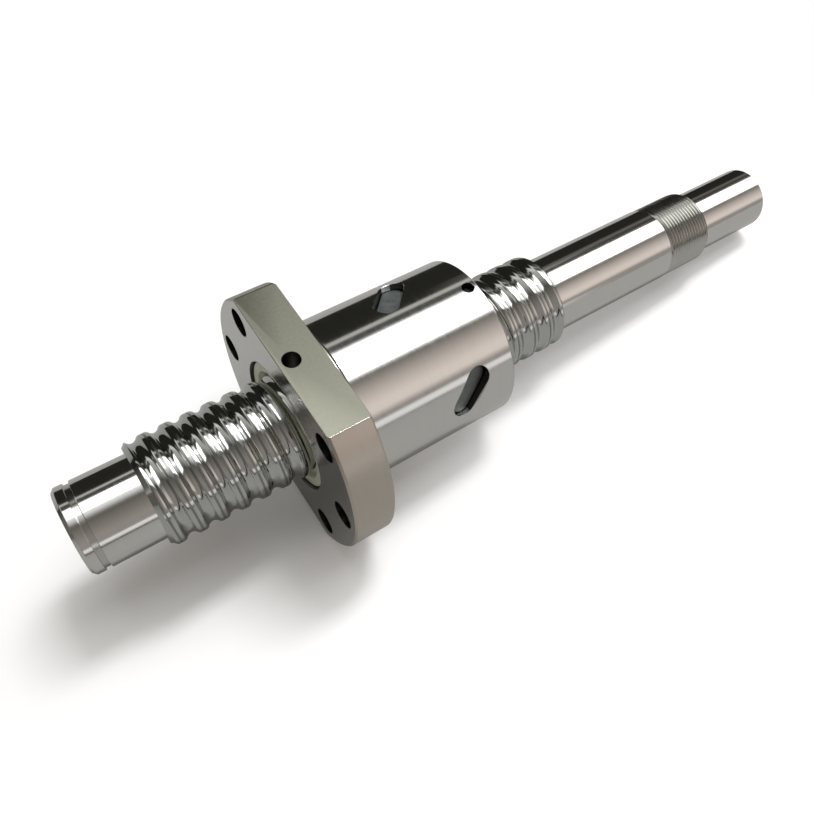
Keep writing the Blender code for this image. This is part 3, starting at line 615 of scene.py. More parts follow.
def sintered_metal(colours):
    """Metal powder, pressed and sintered: matt grey, with pores that show as dark specks."""
    return metal("sintered_return_cap_metal", colours.cap, (0.52, 0.68),
                 (0.12 * MM, 0.12 * MM, 0.12 * MM), (1.5 * MM, 1.5 * MM, 1.5 * MM), 0.01 * MM, 0.35)


def ball_steel(colours):
    """Chrome steel ball, tumbled and lapped: a clean mirror."""
    return metal("lapped_chrome_steel_ball", colours.polished, (0.03, 0.06),
                 (1 * MM, 1 * MM, 1 * MM), (2 * MM, 2 * MM, 2 * MM), 0.0001 * MM, 0.04)


def spring_wire(colours):
    """Drawn spring wire: semi-bright, with die marks along it."""
    return metal("drawn_spring_wire", colours.wire, (0.2, 0.35),
                 (0.2 * MM, 0.2 * MM, 0.2 * MM), None, 0.001 * MM, 0.2)


def blackened_steel(colours):
    """Steel pin with a black oxide finish: dark, with a dull oily sheen."""
    return metal("black_oxide_pin_steel", colours.blackened, (0.3, 0.5),
                 (0.3 * MM, 0.3 * MM, 0.3 * MM), None, 0.002 * MM, 0.3)


def acetal(colours):
    """Acetal, injection moulded: cream, slightly waxy, with a fine moulded grain."""
    material, tree, output = new_material("moulded_cream_acetal")
    fine = lay_noise(tree, (0.2 * MM,) * 3)
    slow = lay_noise(tree, (4 * MM,) * 3, 2.0)
    dark = tuple(part * 0.86 for part in colours.acetal)
    tint = add_node(tree, "ShaderNodeMix", {0: spread(tree, slow, 0, 1), 6: (*dark, 1),
                                            7: (*colours.acetal, 1)}, data_type="RGBA").outputs[2]
    bump = add_node(tree, "ShaderNodeBump", {"Height": fine, "Strength": 1.0, "Distance": 0.01 * MM})
    shader = add_node(tree, "ShaderNodeBsdfPrincipled", {
        "Base Color": tint, "Roughness": spread(tree, fine, 0.38, 0.52), "IOR": 1.48,
        "Subsurface Weight": 0.15, "Subsurface Scale": 0.5 * MM, "Normal": bump.outputs[0]})
    tree.links.new(shader.outputs[0], output.inputs[0])
    return material


def dress(piece, body, nodes, materials):
    """Give a piece its materials, its body and the solids that it stands for."""
    for material in materials:
        piece.data.materials.append(material)
    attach(piece, body)
    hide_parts(*nodes)


def face_arrays(mesh):
    """Centres and normals of a mesh's faces, as arrays."""
    total = len(mesh.polygons)
    centres, normals = np.empty(total * 3), np.empty(total * 3)
    mesh.polygons.foreach_get("center", centres)
    mesh.polygons.foreach_get("normal", normals)
    return centres.reshape(-1, 3), normals.reshape(-1, 3)


def paint_faces(mesh, indices):
    """Set each face's material by its index in the mesh's list."""
    mesh.polygons.foreach_set("material_index", indices.astype(np.int32))
    mesh.update()


def centre_hole(shaft, x, inward):
    """Outline of a centre hole, from the tip of its drilled point, by its cone, to its mouth in the end."""
    mouth, drill = shaft.centre_diameter / 2, shaft.centre_drill / 2
    cone = (mouth - drill) / tan(radians(CENTRE_CONE_ANGLE / 2))
    return [(x + inward * (cone + shaft.centre_depth), 0, 0), (x + inward * cone, drill, 0),
            (x, mouth, 0)]


class BALLSCREW_OT_make_shaft(bpy.types.Operator):
    """Make the shaft: turned journals, the helical ball track and the fine lock-nut thread in one skin"""
    bl_idname = "ballscrew.make_shaft"
    bl_label = "Make Shaft"

    def execute(self, context):
        track, shaft = context.scene.ball_track, context.scene.ball_screw_shaft
        caps, colours = context.scene.ball_screw_caps, context.scene.ball_screw_colours
        columns, brk = shaft.columns, shaft.edge_break
        near_x, far_x = shaft_low.x, shaft_high.x
        start_x = near_x + shaft.near_length
        end_x = start_x + shaft.track_length
        fine_x = end_x + shaft.far_length
        drive_x = fine_x + shaft.fine_length
        near, far = shaft.near_diameter / 2, shaft.far_diameter / 2
        fine, drive = shaft.fine_diameter / 2, shaft.drive_diameter / 2
        groove_x = near_x + shaft.ring_groove_from_end
        groove_end_x = groove_x + shaft.ring_groove_width
        groove = near - shaft.ring_groove_depth
        corner = shaft.end_chamfer
        near_outline = centre_hole(shaft, near_x, 1) + [
            (near_x, near - corner, brk), (near_x + corner, near, brk),
            (groove_x, near, brk), (groove_x, groove, brk),
            (groove_end_x, groove, brk), (groove_end_x, near, brk),
            (start_x, near, 0)]
        land = track.land_diameter / 2
        section = track_section(track, land, gap=track.polish_fit, steps=track.arc_steps,
                                edge=track.land_edge)
        phase = track_start(track, caps)
        past_chamfer = 0.25 * MM
        zone = shaft.track_chamfer + past_chamfer
        stations = np.linspace(0, zone, 26)
        cone = land - shaft.track_chamfer
        pitch = shaft.fine_pitch
        fine_root = fine - THREAD_DEPTH_TO_PITCH * pitch
        crest, flank_foot, root = 0.0625, 0.44, 0.47
        foot = fine_root + 0.03 * MM
        fine_section = (
            np.array([0, crest, flank_foot, root, 1 - root, 1 - flank_foot, 1 - crest, 1]) * pitch,
            np.array([fine, fine, foot, fine_root, fine_root, foot, fine, fine]))
        fine_zone = 0.8 * MM
        fine_stations = np.linspace(0, fine_zone, 14)
        relief = 0.4 * MM
        blocks = [
            plain_rows(rounded(near_outline), columns),
            chamfered_rows(section, track.lead, phase, start_x + stations, start_x, cone, columns),
            threaded_rows(section, track.lead, phase, start_x + zone, end_x - zone, columns),
            chamfered_rows(section, track.lead, phase, end_x - stations[::-1], end_x, cone, columns),
            plain_rows(rounded([(end_x, far, 0), (fine_x - relief, far, brk),
                                (fine_x, fine_root, 0)]), columns),
            chamfered_rows(fine_section, pitch, fine_x, fine_x + fine_stations, fine_x, fine_root, columns),
            threaded_rows(fine_section, pitch, fine_x, fine_x + fine_zone, drive_x - fine_zone, columns),
            chamfered_rows(fine_section, pitch, fine_x, drive_x - fine_stations[::-1], drive_x,
                           fine_root, columns),
            plain_rows(rounded([(drive_x, fine_root, 0), (drive_x, drive, 0),
                                (far_x - corner, drive, brk), (far_x, drive - corner, brk)]
                               + centre_hole(shaft, far_x, -1)[::-1]), columns),
        ]
        piece = turned_piece("ground_screw_shaft", blocks)
        dress(piece, "screw", ["screw_shaft"],
              [ground_steel(colours), polished_steel(colours), cut_steel(colours), land_steel(colours)])
        centres = face_arrays(piece.data)[0]
        places, radii = centres[:, 0], np.hypot(centres[:, 1], centres[:, 2])
        on_track = (places > start_x + WELD) & (places < end_x - WELD)
        turns = np.arctan2(centres[:, 2], centres[:, 1]) / (2 * pi)
        from_middle = np.abs(np.mod(places - phase - track.lead * turns + track.lead / 2, track.lead)
                             - track.lead / 2)
        slack = 0.003 * MM
        on_land = on_track & (from_middle < track.land_line / 2) & (
            radii > land * cos(pi / columns) - slack)
        on_fine = (places > fine_x) & (places < drive_x)
        in_groove = np.abs(places - (groove_x + groove_end_x) / 2) < shaft.ring_groove_width / 2
        kind = np.full(len(centres), JOURNAL)
        kind[on_track] = TRACK
        kind[on_land] = LAND
        kind[on_fine | in_groove] = CUT
        paint_faces(piece.data, kind)
        return {"FINISHED"}


class BALLSCREW_OT_make_nut(bpy.types.Operator):
    """Make the nut: flange, body, wiper seats and ball track in one skin, then flats, holes and slots"""
    bl_idname = "ballscrew.make_nut"
    bl_label = "Make Nut"

    def execute(self, context):
        track, nut = context.scene.ball_track, context.scene.ball_screw_nut
        caps, colours = context.scene.ball_screw_caps, context.scene.ball_screw_colours
        columns, brk, corner = nut.columns, nut.edge_break, nut.edge_chamfer
        front, rear = nut_low.x, nut_high.x
        rim, body, recess = nut_high.y, nut.body_diameter / 2, nut.recess_diameter / 2
        back = front + nut.flange_thickness
        relief, small = body - nut.undercut_depth, nut.recess_chamfer
        bore = track.land_diameter / 2 + track.nut_gap
        section = track_section(track, bore, outward=True, steps=track.nut_arc_steps)
        phase = track_start(track, caps)
        low, high = front + nut.recess_depth, rear - nut.recess_depth
        outline = [
            (low, recess, 0), (front + small, recess, brk), (front, recess + small, brk),
            (front, rim - corner, brk), (front + corner, rim, brk),
            (back - corner, rim, brk), (back, rim - corner, brk),
            (back, relief, 0.1 * MM), (back + nut.undercut_width, relief, 0.1 * MM),
            (back + nut.undercut_width + nut.undercut_depth, body, brk),
            (rear - corner, body, brk), (rear, body - corner, brk),
            (rear, recess + small, brk), (rear - small, recess, brk), (high, recess, 0)]
        bore_rows = threaded_rows(section, track.lead, phase, low, high, columns)
        blocks = [plain_rows(rounded(outline), columns), (bore_rows[0][::-1], bore_rows[1][::-1])]
        piece = turned_piece("flanged_nut_body", blocks, closed=True)
        builder = bmesh.new()
        builder.from_mesh(piece.data)
        inside = recess + small / 2
        bmesh.ops.triangulate(builder, faces=[
            face for face in builder.faces if max(v.co.yz.length for v in face.verts) < inside])
        builder.to_mesh(piece.data)
        builder.free()
        self.cut_flats(piece, nut, front, back, rim)
        self.cut_holes(piece, nut, caps, front, rear, back, body, bore)
        dress(piece, "nut", ["nut_body"],
              [ground_steel(colours), satin_steel(colours), face_ground_steel(colours),
               bored_steel_painted_shade(colours), rim_steel(colours)])
        self.paint(piece.data, front, back, rear, body, rim, nut)
        return {"FINISHED"}

    def cut_flats(self, piece, nut, front, back, rim):
        """Mill the two flats, each with an edge break at the front and rear faces and at the rim."""
        flat, edge, past = nut_high.z, nut.hole_break, 1 * MM
        ends = []
        for side in (1, -1):
            outline = np.array([(front - past, flat - edge - past), (front + edge, flat),
                                (back - edge, flat), (back + past, flat - edge - past),
                                (back + past, rim + past), (front - past, rim + past)])
            rings = [np.stack([outline[:, 0], np.full(len(outline), y), side * outline[:, 1]], 1)
                     for y in (-rim, rim)]
            ends.append(skinned_piece("flat", rings))
        cut(piece, ends)
        across = sqrt(rim ** 2 - flat ** 2)
        lean = acos(flat / rim) / 2
        out, along = np.array((sin(lean), cos(lean))), np.array((cos(lean), -sin(lean)))
        ends = []
        for side in (1, -1):
            for up in (1, -1):
                foot = np.array((across, flat)) - out * edge / 2
                outline = np.array([foot - past * along, foot + past * along,
                                    foot + past * along + past * out, foot - past * along + past * out])
                rings = [np.stack([np.full(4, x), side * outline[:, 0], up * outline[:, 1]], 1)
                         for x in (front - past, back + past)]
                ends.append(skinned_piece("flat_edge", rings))
        cut(piece, ends)

    def cut_holes(self, piece, nut, caps, front, rear, back, body, bore):
        """Drill bolt holes, port and pin holes, and mill the slots of the return caps."""
        edge, steps = nut.hole_break, nut.hole_steps
        radius = nut.bolt_hole / 2
        cutters = []
        for angle in BOLT_ANGLES:
            middle = standing(0, angle, 0, 0, nut.bolt_circle / 2)
            rings = []
            for x, r in ((front - edge, radius + 2 * edge), (front + edge, radius),
                         (back - edge, radius), (back + edge, radius + 2 * edge)):
                u, v = circle(r, steps)
                rings.append(np.stack([np.full(steps, x), middle[1] + u, middle[2] + v], 1))
            cutters.append(skinned_piece("bolt_hole", rings))
        deep = nut.recess_diameter / 2 - 1 * MM
        slot_floor = bore - 2.5 * MM
        cutters.append(mouth_cutter("port", front + nut.port_from_front, 90,
                                    lambda grow: circle(nut.port_diameter / 2 + grow, steps),
                                    deep, nut_high.z, edge, flat=True))
        cutters.append(mouth_cutter("pin_hole", front + nut.pin_from_end, 270,
                                    lambda grow: circle(nut.pin_hole / 2 + grow, steps),
                                    deep, nut_high.z, edge, flat=True))
        cutters.append(mouth_cutter("pin_hole", rear - nut.pin_from_end, 90,
                                    lambda grow: circle(nut.pin_hole / 2 + grow, steps),
                                    deep, body, edge))
        for number in range(CIRCUITS):
            x, angle = cap_place(caps, number)
            cutters.append(mouth_cutter(
                "slot", x, angle,
                lambda grow: obround(caps.slot_width + 2 * grow, caps.slot_length + 2 * grow,
                                     caps.slant, steps),
                slot_floor, body, edge))
        cut(piece, cutters)

    def paint(self, mesh, front, back, rear, body, rim, nut):
        """Ground body, rear end and slot walls, satin flats and flange back, turned rim, bored holes and
        seats darkened with painted shade.
        """
        centres, normals = face_arrays(mesh)
        radii = np.hypot(centres[:, 1], centres[:, 2])
        outward = (centres[:, 1] * normals[:, 1] + centres[:, 2] * normals[:, 2]) / radii
        near = 0.02 * MM
        kind = np.full(len(centres), BORED_PAINTED_SHADE)
        kind[(radii > body - nut.undercut_depth - near) & (outward > 0.6) & (centres[:, 0] > back)] = GROUND
        kind[(np.abs(centres[:, 0] - rear) < near) & (radii > nut.recess_diameter / 2)] = GROUND
        kind[(np.abs(outward) < 0.7) & (radii > nut.recess_diameter / 2)
             & (centres[:, 0] > back + nut.undercut_width)
             & (centres[:, 0] < rear - nut.recess_depth)] = GROUND
        kind[(centres[:, 0] < back + near) & (radii > rim - 2 * nut.edge_chamfer)] = RIM
        kind[(centres[:, 0] > back) & (centres[:, 0] < back + nut.undercut_width - near)] = RIM
        kind[(np.abs(normals[:, 1]) < 0.1) & (np.abs(normals[:, 2]) > 0.5)
             & (np.abs(centres[:, 2]) > nut_high.z - 0.4 * MM)] = SATIN
        kind[(np.abs(normals[:, 1]) > 0.25) & (np.abs(normals[:, 2]) > 0.9)
             & (radii > rim - nut.edge_chamfer) & (centres[:, 0] < back)] = GROUND
        kind[(np.abs(centres[:, 0] - back) < near) & (normals[:, 0] > 0.7)] = SATIN
        kind[(np.abs(centres[:, 0] - front) < near) & (normals[:, 0] < -0.7)] = FACE
        paint_faces(mesh, kind)


def cap_place(caps, number):
    """Place along the axis and angle about it of a return cap, counted from the plain end."""
    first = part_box("return_cap_1")
    middle = (first[0].x + first[1].x) / 2
    return middle - number * caps.step, caps.first_angle + number * caps.angle_step


def ball_path(track, caps, number, turns):
    """Ball centres of a circuit at turns from -180 to 180 degrees, with the cap at 0.

    The ball follows the track, x = lead * turn / 360. Across the cap a smooth step s, from
    6 s^5 - 15 s^4 + 10 s^3, takes it back by one lead, and it rises over the land: its radius is
    the land's plus the height of a circle of the track's radius over the land's edge.
    """
    x, angle = cap_place(caps, number)
    share = np.clip((turns / caps.crossover + 1) / 2, 0, 1)
    step = share ** 3 * (10 - 15 * share + 6 * share ** 2)
    offset = track.lead * np.minimum(step, 1 - step)
    land = track.land_diameter / 2
    reach = track.ball_diameter / 2 + track.ball_gap
    corner = arch_half(track, land, False, 0.0, 4, 0.0)[-3]
    lateral = np.maximum(0, corner[0] - offset)
    radius = np.maximum(land + track.ball_rise, land + np.sqrt(np.maximum(0, reach ** 2 - lateral ** 2)))
    around = np.radians(angle + turns)
    along = x + track.lead * turns / 360 + track.lead * (0.5 - step)
    return np.stack([along, radius * np.cos(around), radius * np.sin(around)], 1)


def tube_rings(path, radius, sides, out):
    """Rings of a tube: at each point of the path, a circle in the plane across its direction.

    out is a vector at each point that fixes where the circle starts.
    """
    ahead = np.gradient(path, axis=0)
    ahead /= np.linalg.norm(ahead, axis=1, keepdims=True)
    out = out - ahead * np.sum(out * ahead, axis=1, keepdims=True)
    out /= np.linalg.norm(out, axis=1, keepdims=True)
    side = np.cross(ahead, out)
    u, v = circle(radius, sides)
    return path[:, None] + u[None, :, None] * side[:, None] + v[None, :, None] * out[:, None]


class BALLSCREW_OT_make_caps(bpy.types.Operator):
    """Make the four return caps, each hollow to the bore and with the channel that a ball crosses by"""
    bl_idname = "ballscrew.make_caps"
    bl_label = "Make Return Caps"

    def execute(self, context):
        track, nut = context.scene.ball_track, context.scene.ball_screw_nut
        caps = context.scene.ball_screw_caps
        material = sintered_metal(context.scene.ball_screw_colours)
        steps = nut.hole_steps
        top = nut.body_diameter / 2 - caps.sink
        above_lands = 0.1 * MM
        under = track.land_diameter / 2 + track.nut_gap + above_lands
        width, size = caps.slot_width - 2 * caps.gap, caps.slot_length - 2 * caps.gap
        for number in range(CIRCUITS):
            x, angle = cap_place(caps, number)
            rings = []
            outline = obround(width, size, caps.slant, steps)
            for share in (0.0, 0.35, 0.7, 1.0):
                u, v = share * outline[0], share * outline[1]
                rings.append(standing(x, angle, u, v, on_cylinder(under, v)))
            for turned in np.linspace(0, pi / 2, 6):
                inset = caps.edge_round * (1 - cos(turned))
                u, v = obround(width - 2 * inset, size - 2 * inset, caps.slant, steps)
                rings.append(standing(x, angle, u, v, top - caps.edge_round * (1 - sin(turned))))
            for share in (0.66, 0.33, 0.0):
                rings.append(standing(x, angle, share * u, share * v, top))
            piece = skinned_piece("return_cap_block_%d" % (number + 1), rings, ends=False)
            turns = np.linspace(-3, 3, 61) * caps.crossover
            path = ball_path(track, caps, number, turns)
            reach = track.ball_diameter / 2 + track.ball_gap
            channel = tube_rings(path, reach, 20, path * (0, 1, 1))
            cut(piece, [skinned_piece("channel", channel)])
            dress(piece, "nut", ["return_cap_%d" % (number + 1)], [material])
        return {"FINISHED"}


class BALLSCREW_OT_make_balls(bpy.types.Operator):
    """Make the balls of the four circuits, each a small sphere on its closed path"""
    bl_idname = "ballscrew.make_balls"
    bl_label = "Make Balls"

    def execute(self, context):
        track, caps = context.scene.ball_track, context.scene.ball_screw_caps
        material = ball_steel(context.scene.ball_screw_colours)
        radius = track.ball_diameter / 2 * 0.995
        latitudes = np.linspace(-pi / 2, pi / 2, 7)[:, None]
        longitudes = np.linspace(0, 2 * pi, 11)[None, :]
        ball = radius * np.stack([np.cos(latitudes) * np.cos(longitudes),
                                  np.cos(latitudes) * np.sin(longitudes),
                                  np.sin(latitudes) * np.ones_like(longitudes)], 2).reshape(-1, 3)
        quads = grid_faces(7, 11)
        for number in range(CIRCUITS):
            turns = np.linspace(-180, 180, 1441)
            path = ball_path(track, caps, number, turns)
            travel = np.concatenate([[0], np.cumsum(np.linalg.norm(np.diff(path, axis=0), axis=1))])
            total = int(travel[-1] / track.ball_diameter)
            places = (np.arange(total) + 0.5) * travel[-1] / total
            centres = np.stack([np.interp(places, travel, path[:, k]) for k in range(3)], 1)
            points = centres[:, None] + ball[None]
            faces = (quads[None] + np.arange(total)[:, None, None] * len(ball)).reshape(-1, 4)
            piece = make_piece("ball_string_%d" % (number + 1), points, faces)
            dress(piece, "nut", ["ball_circuit_%d" % (number + 1)], [material])
        return {"FINISHED"}


class BALLSCREW_OT_make_wipers(bpy.types.Operator):
    """Make the two wipers, whose bores follow the ball track"""
    bl_idname = "ballscrew.make_wipers"
    bl_label = "Make Wipers"

    def execute(self, context):
        track, nut = context.scene.ball_track, context.scene.ball_screw_nut
        caps, wiper = context.scene.ball_screw_caps, context.scene.ball_screw_wipers
        material = acetal(context.scene.ball_screw_colours)
        outer = nut.recess_diameter / 2 - wiper.gap
        bore = track.land_diameter / 2 + wiper.gap
        section = track_section(track, bore, gap=wiper.gap + track.polish_fit, steps=6, edge=0.15 * MM)
        phase = track_start(track, caps)
        for name, rear in (("front", False), ("rear", True)):
            back = -1 if rear else 1
            end = nut_high.x if rear else nut_low.x
            face = end + back * wiper.set_back
            inner = face + back * wiper.length
            groove = inner - back * wiper.groove_from_inner
            far_groove = groove - back * wiper.groove_width
            floor = outer - wiper.groove_depth
            ridge = bore + 0.05 * MM
            sunk = face + back * wiper.lead_in
            outline = [
                (inner, ridge, 0), (inner, outer, 0.1 * MM),
                (groove, outer, 0.1 * MM), (groove, floor, 0.1 * MM),
                (far_groove, floor, 0.1 * MM), (far_groove, outer, 0.1 * MM),
                (face, outer, 0.2 * MM), (face, bore + wiper.lead_in, 0.05 * MM), (sunk, ridge, 0)]
            low, high = min(sunk, inner), max(sunk, inner)
            xs, radii = threaded_rows(section, track.lead, phase, low, high, wiper.columns)
            if rear:
                xs, radii = xs[::-1], radii[::-1]
            piece = turned_piece("moulded_wiper_" + name,
                                 [plain_rows(rounded(outline), wiper.columns), (xs, radii)], closed=True)
            place = end + back * nut.pin_from_end
            angle = 90 if rear else 270
            u, v = circle(nut.pin_hole / 2, nut.hole_steps)
            rings = [standing(place, angle, u, v, height)
                     for height in (outer - wiper.pin_bite - 0.2 * MM, outer + 1 * MM)]
            cut(piece, [skinned_piece("pocket", rings)])
            dress(piece, "nut", ["wiper_" + name], [material])
        return {"FINISHED"}


class BALLSCREW_OT_make_springs(bpy.types.Operator):
    """Make the two garter springs, close coils bent into rings"""
    bl_idname = "ballscrew.make_springs"
    bl_label = "Make Garter Springs"

    def execute(self, context):
        nut, wiper = context.scene.ball_screw_nut, context.scene.ball_screw_wipers
        material = spring_wire(context.scene.ball_screw_colours)
        for name in ("front", "rear"):
            low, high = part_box("wiper_spring_" + name)
            middle, ring = (low.x + high.x) / 2, high.y - wiper.coil_diameter / 2
            coil = (wiper.coil_diameter - wiper.wire_diameter) / 2
            around = np.linspace(0, 2 * pi, wiper.coil_turns * 8 + 1)
            wound = around * wiper.coil_turns
            radius = ring + coil * np.sin(wound)
            path = np.stack([middle + coil * np.cos(wound), radius * np.cos(around),
                             radius * np.sin(around)], 1)
            out = np.stack([np.cos(wound), np.sin(wound) * np.cos(around),
                            np.sin(wound) * np.sin(around)], 1)
            long_path = np.vstack([path[-2], path, path[1]])
            long_out = np.vstack([out[-2], out, out[1]])
            rings = tube_rings(long_path, wiper.wire_diameter / 2, 5, long_out)[1:-1]
            rings[-1] = rings[0]
            piece = skinned_piece("garter_spring_" + name, rings, ends=False)
            dress(piece, "travel", ["wiper_spring_" + name], [material])
        return {"FINISHED"}


class BALLSCREW_OT_make_pins(bpy.types.Operator):
    """Make the two pins that hold the wipers in the nut"""
    bl_idname = "ballscrew.make_pins"
    bl_label = "Make Pins"

    def execute(self, context):
        nut, wiper = context.scene.ball_screw_nut, context.scene.ball_screw_wipers
        material = blackened_steel(context.scene.ball_screw_colours)
        radius = wiper.pin_diameter / 2
        point = nut.recess_diameter / 2 - wiper.gap - wiper.pin_bite
        head = nut.body_diameter / 2 - wiper.pin_sink
        profile = [(point, 0), (point, radius / 2), (point + 0.5 * MM, radius),
                   (head - 0.3 * MM, radius), (head - 0.12 * MM, radius * 0.94),
                   (head - 0.03 * MM, radius * 0.75), (head, radius * 0.4), (head, 0)]
        for name, angle, x in (("front", 270, nut_low.x + nut.pin_from_end),
                               ("rear", 90, nut_high.x - nut.pin_from_end)):
            rings = [standing(x, angle, *circle(r, 32), height) for height, r in profile]
            piece = skinned_piece("wiper_pin_body_" + name, rings, ends=False)
            dress(piece, "nut", ["wiper_pin_" + name], [material])
        return {"FINISHED"}


class BALLSCREW_OT_make_stage(bpy.types.Operator):
    """Make the floor, the soft light, the surroundings and the camera"""
    bl_idname = "ballscrew.make_stage"
    bl_label = "Make Stage"

    def execute(self, context):
        stage, colours = context.scene.ball_screw_stage, context.scene.ball_screw_colours
        self.make_floor(stage, colours, context.scene.ball_screw_nut.flange_thickness,
                        context.scene.ball_screw_shaft.drive_diameter)
        self.make_light(stage, "soft_light", stage.soft_start, (stage.soft_length, stage.soft_width),
                        stage.soft_lean, stage.soft_power)
        self.make_light(stage, "side_light", stage.side_start, (stage.side_length, stage.side_width),
                        stage.side_lean, stage.side_power)
        self.make_light(stage, "key_light", stage.key_start, (stage.key_length, stage.key_width),
                        stage.key_lean, stage.key_power)
        self.make_world(context.scene, context.scene.ball_screw_room)
        self.make_camera(context.scene, stage)
        context.scene.view_settings.view_transform = "Standard"
        return {"FINISHED"}

    def make_floor(self, stage, colours, flange_thickness, drive_diameter):
        """Table that the part lies on: it touches the flange's lower flat and the drive end."""
        heel = Vector((nut_low.x + flange_thickness, 0, nut_low.z))
        toe = Vector((shaft_high.x, 0, -drive_diameter / 2))
        slope = (toe.z - heel.z) / (toe.x - heel.x)
        ahead = (CAMERA_AIM - CAMERA_PLACE).xy.normalized()
        aside = Vector((ahead.y, -ahead.x))
        edge, reach = ahead * stage.floor_edge, stage.floor_size
        corners = [edge - aside * reach, edge + aside * reach,
                   edge + aside * reach - ahead * reach, edge - aside * reach - ahead * reach]
        points = np.array([(c.x, c.y, heel.z + slope * (c.x - heel.x)) for c in corners])
        floor = make_piece("floor", points, [[0, 1, 2, 3]])
        material, tree, output = new_material("matt_white_table")
        # The part sees the darker floor colour and the camera the backdrop: painted shade in the steel's
        # reflections of the table
        rays = add_node(tree, "ShaderNodeLightPath").outputs["Is Camera Ray"]
        tint = add_node(tree, "ShaderNodeMix", {0: rays, 6: (*colours.floor, 1), 7: (*colours.backdrop, 1)},
                        data_type="RGBA").outputs[2]
        matt = add_node(tree, "ShaderNodeBsdfDiffuse", {"Color": tint})
        glow = add_node(tree, "ShaderNodeEmission", {"Color": tint})
        place = add_node(tree, "ShaderNodeTexCoord").outputs["Object"]
        along = add_node(tree, "ShaderNodeSeparateXYZ", {0: place}).outputs[0]
        # Past the nut the table glows: painted light that lifts the shadows there
        share = add_node(tree, "ShaderNodeMapRange", {
            "Value": along, "From Min": nut_low.x - stage.painted_light_start, "From Max": nut_high.x,
            "To Min": 0, "To Max": stage.floor_painted_light}).outputs[0]
        lit = add_node(tree, "ShaderNodeMixShader", {0: share, 1: matt.outputs[0], 2: glow.outputs[0]})
        tree.links.new(lit.outputs[0], output.inputs[0])
        floor.data.materials.append(material)

    def make_light(self, stage, name, start, size, lean, power):
        """Rectangular light over the part, leaning towards +Y, whose near edge is at the start."""
        lamp = bpy.data.lights.new(name, "AREA")
        lamp.shape = "RECTANGLE"
        lamp.size, lamp.size_y = size
        lamp.energy = power
        light = bpy.data.objects.new(name, lamp)
        bpy.context.scene.collection.objects.link(light)
        lean = radians(lean)
        light.location = Vector((start + size[0] / 2, tan(lean) * stage.light_height, stage.light_height))
        light.rotation_euler = (-lean, 0, 0)

    def make_world(self, scene, room):
        """Room round the stage: dark cloth, with each wall, lamp and card of ROOM_PARTS laid over it."""
        world = bpy.data.worlds.new("studio")
        world.use_nodes = True
        tree = world.node_tree
        tree.nodes.clear()
        ahead = add_node(tree, "ShaderNodeTexCoord").outputs["Generated"]
        parts = add_node(tree, "ShaderNodeSeparateXYZ", {0: ahead})
        angle = add_node(tree, "ShaderNodeMath", {0: parts.outputs[2], 1: parts.outputs[1]},
                         operation="ARCTAN2").outputs[0]
        degrees = add_node(tree, "ShaderNodeMath", {0: angle}, operation="DEGREES").outputs[0]
        whole = (*room.cloth, 1)
        for tone, *edges in ROOM_PARTS:
            laid = self.room_part(tree, degrees, parts.outputs[0], *edges)
            whole = add_node(tree, "ShaderNodeMix", {0: laid, 6: whole, 7: (*getattr(room, tone), 1)},
                             data_type="RGBA").outputs[2]
        rays = add_node(tree, "ShaderNodeLightPath").outputs["Is Camera Ray"]
        shown = add_node(tree, "ShaderNodeMix", {0: rays, 6: whole, 7: (1, 1, 1, 1)},
                         data_type="RGBA").outputs[2]
        sky = add_node(tree, "ShaderNodeBackground", {"Color": shown, "Strength": 1.0})
        add_node(tree, "ShaderNodeOutputWorld", {"Surface": sky.outputs[0]})
        scene.world = world

    def room_part(self, tree, degrees, along, start, end, rise, fall, low, high):
        """Share of a part of the room that shows in a direction, from 0 outside its edges to 1 inside.

        The part runs from start to end in degrees about the screw axis, from +Y over the top to -Y,
        with a soft edge of rise and of fall degrees, and an edge of 0 leaves it open on that side.
        Along the axis it runs from low to high.
        """
        laid = 1.0
        for value, first, last, before, after in (
                (degrees, start - rise, start, 0, 1), (degrees, end, end + fall, 1, 0),
                (along, low - ROOM_BLEND, low, 0, 1), (along, high, high + ROOM_BLEND, 1, 0)):
            if last > first:
                edge = add_node(tree, "ShaderNodeMapRange", {
                    "Value": value, "From Min": first, "From Max": last, "To Min": before,
                    "To Max": after}).outputs[0]
                laid = add_node(tree, "ShaderNodeMath", {0: laid, 1: edge}, operation="MINIMUM").outputs[0]
        return laid

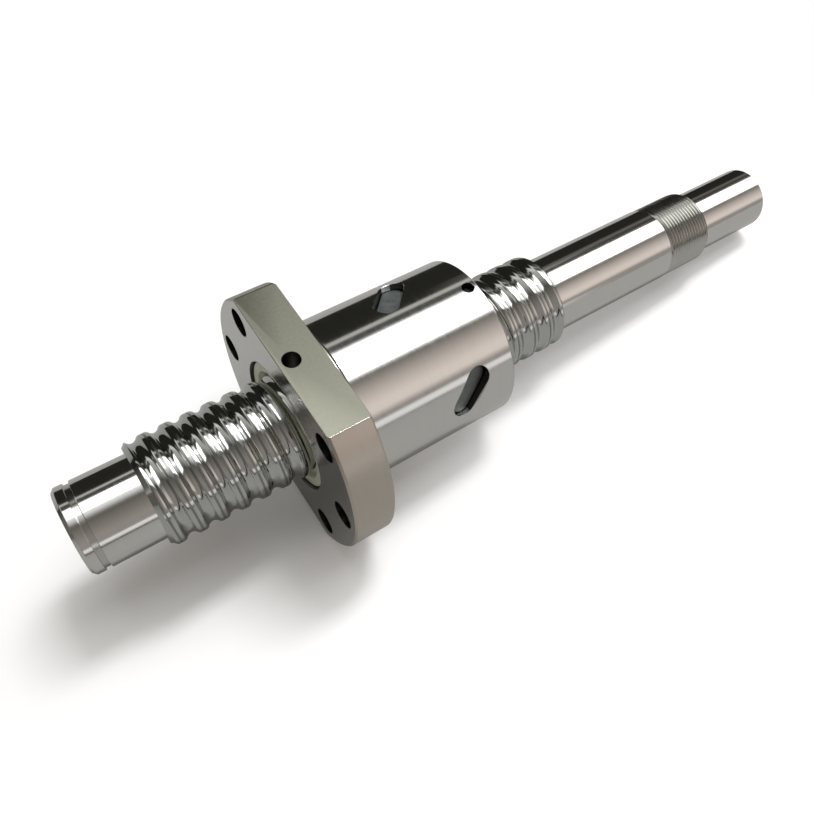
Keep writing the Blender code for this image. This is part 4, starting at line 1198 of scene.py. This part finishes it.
    def make_camera(self, scene, stage):
        """Camera over the near end, rolled so that the screw climbs to the upper right."""
        data = bpy.data.cameras.new("camera")
        data.lens, data.sensor_width = stage.lens, 36
        data.clip_start, data.clip_end = 0.01, 20
        camera = bpy.data.objects.new("camera", data)
        scene.collection.objects.link(camera)
        ahead = (CAMERA_AIM - CAMERA_PLACE).normalized()
        look = ahead.to_track_quat("-Z", "Y").to_matrix()
        roll = Matrix.Rotation(radians(stage.roll), 3, "Z")
        camera.matrix_world = Matrix.Translation(CAMERA_PLACE) @ (look @ roll).to_4x4()
        scene.camera = camera


class BALLSCREW_PT_panel(bpy.types.Panel):
    """Ball screw pieces and sizes"""
    bl_idname = "BALLSCREW_PT_panel"
    bl_label = "Ball Screw"
    bl_space_type = "VIEW_3D"
    bl_region_type = "UI"
    bl_category = "Ball Screw"

    def draw(self, context):
        for operator in OPERATORS:
            self.layout.operator(operator.bl_idname)
        for name, group in GROUPS.items():
            box = self.layout.box()
            box.label(text=group.__doc__)
            for setting in group.__annotations__:
                box.prop(getattr(context.scene, name), setting)


GROUPS = {
    "ball_track": BallTrackSizes,
    "ball_screw_shaft": ShaftSizes,
    "ball_screw_nut": NutSizes,
    "ball_screw_caps": CapSizes,
    "ball_screw_wipers": WiperSizes,
    "ball_screw_colours": FinishColours,
    "ball_screw_room": RoomTones,
    "ball_screw_stage": StageSettings,
}
OPERATORS = (
    BALLSCREW_OT_make_stage,
    BALLSCREW_OT_make_shaft,
    BALLSCREW_OT_make_nut,
    BALLSCREW_OT_make_caps,
    BALLSCREW_OT_make_balls,
    BALLSCREW_OT_make_wipers,
    BALLSCREW_OT_make_springs,
    BALLSCREW_OT_make_pins,
)


def register():
    for name, group in GROUPS.items():
        bpy.utils.register_class(group)
        setattr(bpy.types.Scene, name, PointerProperty(type=group))
    for item in OPERATORS + (BALLSCREW_PT_panel,):
        bpy.utils.register_class(item)


def unregister():
    for item in (BALLSCREW_PT_panel,) + OPERATORS[::-1]:
        bpy.utils.unregister_class(item)
    for name, group in reversed(GROUPS.items()):
        delattr(bpy.types.Scene, name)
        bpy.utils.unregister_class(group)


def main():
    """Register the add-on and build every piece."""
    register()
    bpy.ops.ballscrew.make_stage()
    bpy.ops.ballscrew.make_shaft()
    bpy.ops.ballscrew.make_nut()
    bpy.ops.ballscrew.make_caps()
    bpy.ops.ballscrew.make_balls()
    bpy.ops.ballscrew.make_wipers()
    bpy.ops.ballscrew.make_springs()
    bpy.ops.ballscrew.make_pins()


if __name__ == "__main__":
    main()
